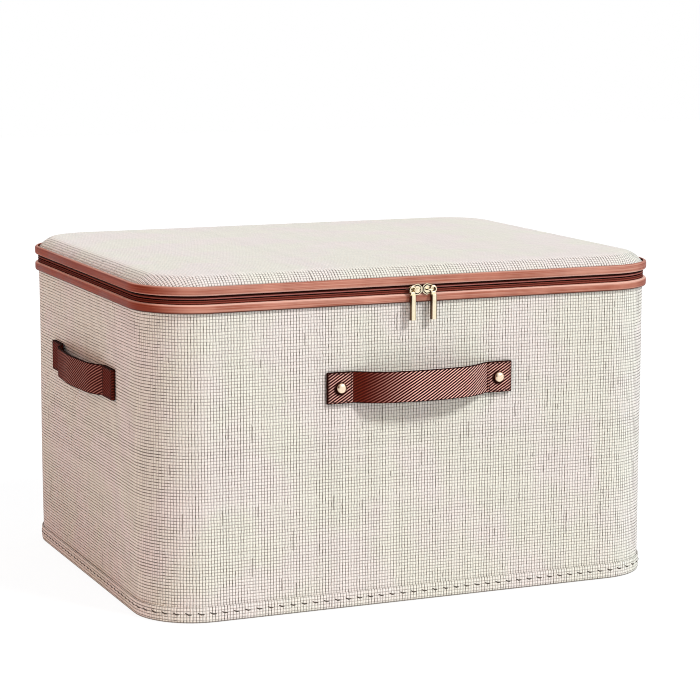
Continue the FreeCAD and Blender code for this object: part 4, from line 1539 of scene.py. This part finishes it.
# %% Pull
pull_low, pull_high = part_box("right_pull")
pull_back, bar_front = -pull_high.y, -pull_low.y
EYE_RADIUS, EYE_WIRE = 2.65 * MM, 0.95 * MM
BAR_HALF, BAR_TOP = 2.8 * MM, 4.3 * MM
NECK_HALF, NECK_DEPTH = 2.0 * MM, 1.8 * MM
NECK_TOP, NECK_FOOT = 2.6 * MM, 5.5 * MM


def pull_bar():
    bpy.ops.mesh.primitive_torus_add(major_segments=32, minor_segments=12,
                                     major_radius=EYE_RADIUS, minor_radius=EYE_WIRE,
                                     rotation=(math.pi / 2, 0, 0),
                                     location=(PULL_X, -pull_back - 1 * MM, ZIP_MIDDLE))
    eye = bpy.context.object
    bpy.ops.object.transform_apply(location=True, rotation=True, scale=False)
    bar = block((PULL_X - BAR_HALF, -bar_front, pull_low.z),
                (PULL_X + BAR_HALF, -pull_back, ZIP_MIDDLE - BAR_TOP))
    bpy.ops.object.mode_set(mode="EDIT")
    pick(bar, "EDGE", lambda edge: is_upright(edge)
         and all(vertex.co.y < -bar_front + TINY for vertex in edge.verts))
    bpy.ops.mesh.bevel(offset=1.9 * MM, segments=6, affect="EDGES")
    finish_edit()
    apply_modifier(bar, "BEVEL", width=0.3 * MM, segments=2, limit_method="ANGLE",
                   angle_limit=math.radians(50))
    neck = block((PULL_X - NECK_HALF, -pull_back - NECK_DEPTH, ZIP_MIDDLE - NECK_FOOT),
                 (PULL_X + NECK_HALF, -pull_back - HAIR, ZIP_MIDDLE - NECK_TOP))
    return join("pull", [bar, eye, neck])


# %% [markdown]
# The left fittings are mirror images of the right ones. A mirror modifier would tie both sides
# to one object, but here each side moves by itself. So every piece is made twice, and the
# left one's points are mirrored, with its faces turned round to look outwards again.

# %% Sliders on both sides
MIRRORS = {"right": Matrix.Identity(4), "left": Matrix.Diagonal((-1, 1, 1, 1))}
for side, mirror in MIRRORS.items():
    for word, make, body in (("slider_body", slider_body, "slider"),
                             ("slider_bail", bail_loop, "slider"), ("pull", pull_bar, "pull")):
        piece = make()
        piece.name = f"{side}_brass_{word}"
        piece.data.transform(mirror)
        if mirror.determinant() < 0:
            piece.data.flip_normals()
        smooth(piece, 35)
        if not piece.data.materials:
            finish_with(piece, brass)
        dress(piece, f"{side}_{body}", "brass", f"{side}_{word}")

# %% [markdown]
# The boards, the linings, the base cover and the washers are plain shapes that the packed
# model already has right. Modelling them again would add nothing, so they only get finishes.

# %% Finishes of the pieces that stay as packed
kept = [(name, board) for name in ("wall_board", "base_board", "lid_board")]
kept += [(name, lining) for name in ("wall_lining", "base_lining", "lid_lining")]
kept += [("base_cover", woven_base), ("front_rivet_washers", rivet_brass)]
for name, material in kept:
    finish_with(nodes[name], material)
    smooth(nodes[name], 35)
    print(name, "gets", material.name)

# %% [markdown]
# The stage is a white room. A photographer would light a white paper from below to lose its
# grey. Here the floor glows a little, but only for the camera and for mirrors, so that it is
# white in the picture and still takes the box's shadow.

# %% Floor
bpy.ops.mesh.primitive_plane_add(size=12, location=(0, 0, -0.5 * MM))
floor = bpy.context.object
floor.name = "floor"
floor_material, tree = new_material("White floor")
paint = tree.nodes["Principled BSDF"]
put((0.9, 0.9, 0.9), paint.inputs["Base Color"])
put(0.9, paint.inputs["Roughness"])
rays = tree.nodes.new("ShaderNodeLightPath")
seen = Value(tree, rays.outputs["Is Camera Ray"])
for ray in ("Is Glossy Ray", "Is Transmission Ray"):
    seen = seen.math("MAXIMUM", Value(tree, rays.outputs[ray]))
glow = add_node(tree, "Emission", {"Strength": 1.06})
mixed = add_node(tree, "MixShader", {0: seen * 0.86, 1: Value(tree, paint.outputs[0]), 2: glow})
put(mixed, tree.nodes["Material Output"].inputs["Surface"])
finish_with(floor, floor_material)
print(floor.name, [round(side, 1) for side in floor.dimensions], "m")

# %% [markdown]
# The key light in the photo is large and soft and stands to the right, above the camera. A sun
# with a wide angle gives such soft shadows evenly over the whole box. A weak, warm fill comes
# from the left and doesn't show in the brass. Area lamps would need places and sizes as well.

# %% Lamps
def sun(name, towards, strength, angle, colour, shiny):
    lamp = bpy.data.lights.new(name, "SUN")
    lamp.energy, lamp.angle, lamp.color = strength, math.radians(angle), colour
    obj = add_object(name, lamp)
    obj.rotation_euler = Vector(towards).to_track_quat("Z", "Y").to_euler()
    obj.visible_glossy = shiny
    print("lamp", name, strength)


sun("key", towards=(0.50, -0.74, 0.80), strength=2.38, angle=12, colour=(1.0, 0.99, 0.98),
    shiny=True)
sun("fill", towards=(-0.9, -0.25, 0.35), strength=0.70, angle=50, colour=(1.0, 0.53, 0.38),
    shiny=False)

# %% [markdown]
# The rest of the light comes from the world. The photo's shaded left side is warm and its top
# is cool, so the sky is warm on the left, cool overhead and stronger from behind. Mirrors see
# a second sky that is dark on the left, which gives the brass its contrast, and the camera
# sees plain white.

# %% World
WHITE, WARM = (1.0, 1.0, 1.0), (0.79, 0.45, 0.34)
COOL_SIDE, COOL_TOP = (0.97, 0.98, 1.0), (0.70, 0.86, 0.98)
DARK_MIRROR = (0.12, 0.06, 0.045)
world = bpy.data.worlds.new("white room")
bpy.context.scene.world = world
world.use_nodes = True
tree = world.node_tree
backdrop = tree.nodes["Background"]
put(WHITE, backdrop.inputs["Color"])
put(1.0, backdrop.inputs["Strength"])
to_right, to_back, to_top = split(add_node(tree, "TexCoord", output="Generated"))
rightward = ease(to_right, -0.95, -0.1)
overhead = mix_colour(ease(to_top, 0.3, 0.95), COOL_SIDE, COOL_TOP)
sky = add_node(tree, "Background", {"Color": mix_colour(rightward, WARM, overhead),
                                    "Strength": ease(to_back, 0.0, 0.8) * 0.4 + 0.62})
mirrored = add_node(tree, "Background", {"Color": mix_colour(rightward, DARK_MIRROR, WHITE)})
white = Value(tree, backdrop.outputs[0])
rays = tree.nodes.new("ShaderNodeLightPath")
lighting = sky
for ray, source in (("Is Glossy Ray", mirrored), ("Is Transmission Ray", white),
                    ("Is Camera Ray", white)):
    choice = {0: Value(tree, rays.outputs[ray]), 1: lighting, 2: source}
    lighting = add_node(tree, "MixShader", choice)
put(lighting, tree.nodes["World Output"].inputs["Surface"])
print(world.name, len(tree.nodes), "nodes")

# %% [markdown]
# The camera's place, direction and lens were solved from the edges of the box in the photo:
# from the left, a little above, with a long lens. The standard view transform keeps the
# colours as they are set. The pixel filter is narrower than usual, because the photo is crisp.

# %% Camera
CAMERA_PLACE = Vector((-0.85416, -2.03813, 0.55017))
AZIMUTH, ELEVATION, ROLL = math.radians(-23.165), math.radians(9.04), math.radians(0.10)
lens = bpy.data.cameras.new("camera")
lens.lens, lens.sensor_width = 119.0, 36.0
camera = add_object("camera", lens)
turn = (Matrix.Rotation(AZIMUTH, 4, "Z") @ Matrix.Rotation(math.pi / 2 - ELEVATION, 4, "X")
        @ Matrix.Rotation(ROLL, 4, "Z"))
camera.matrix_world = Matrix.Translation(CAMERA_PLACE) @ turn
bpy.context.scene.camera = camera
bpy.context.scene.view_settings.view_transform = "Standard"
bpy.context.scene.cycles.filter_width = 1.0
print("camera at", [round(part, 3) for part in CAMERA_PLACE])
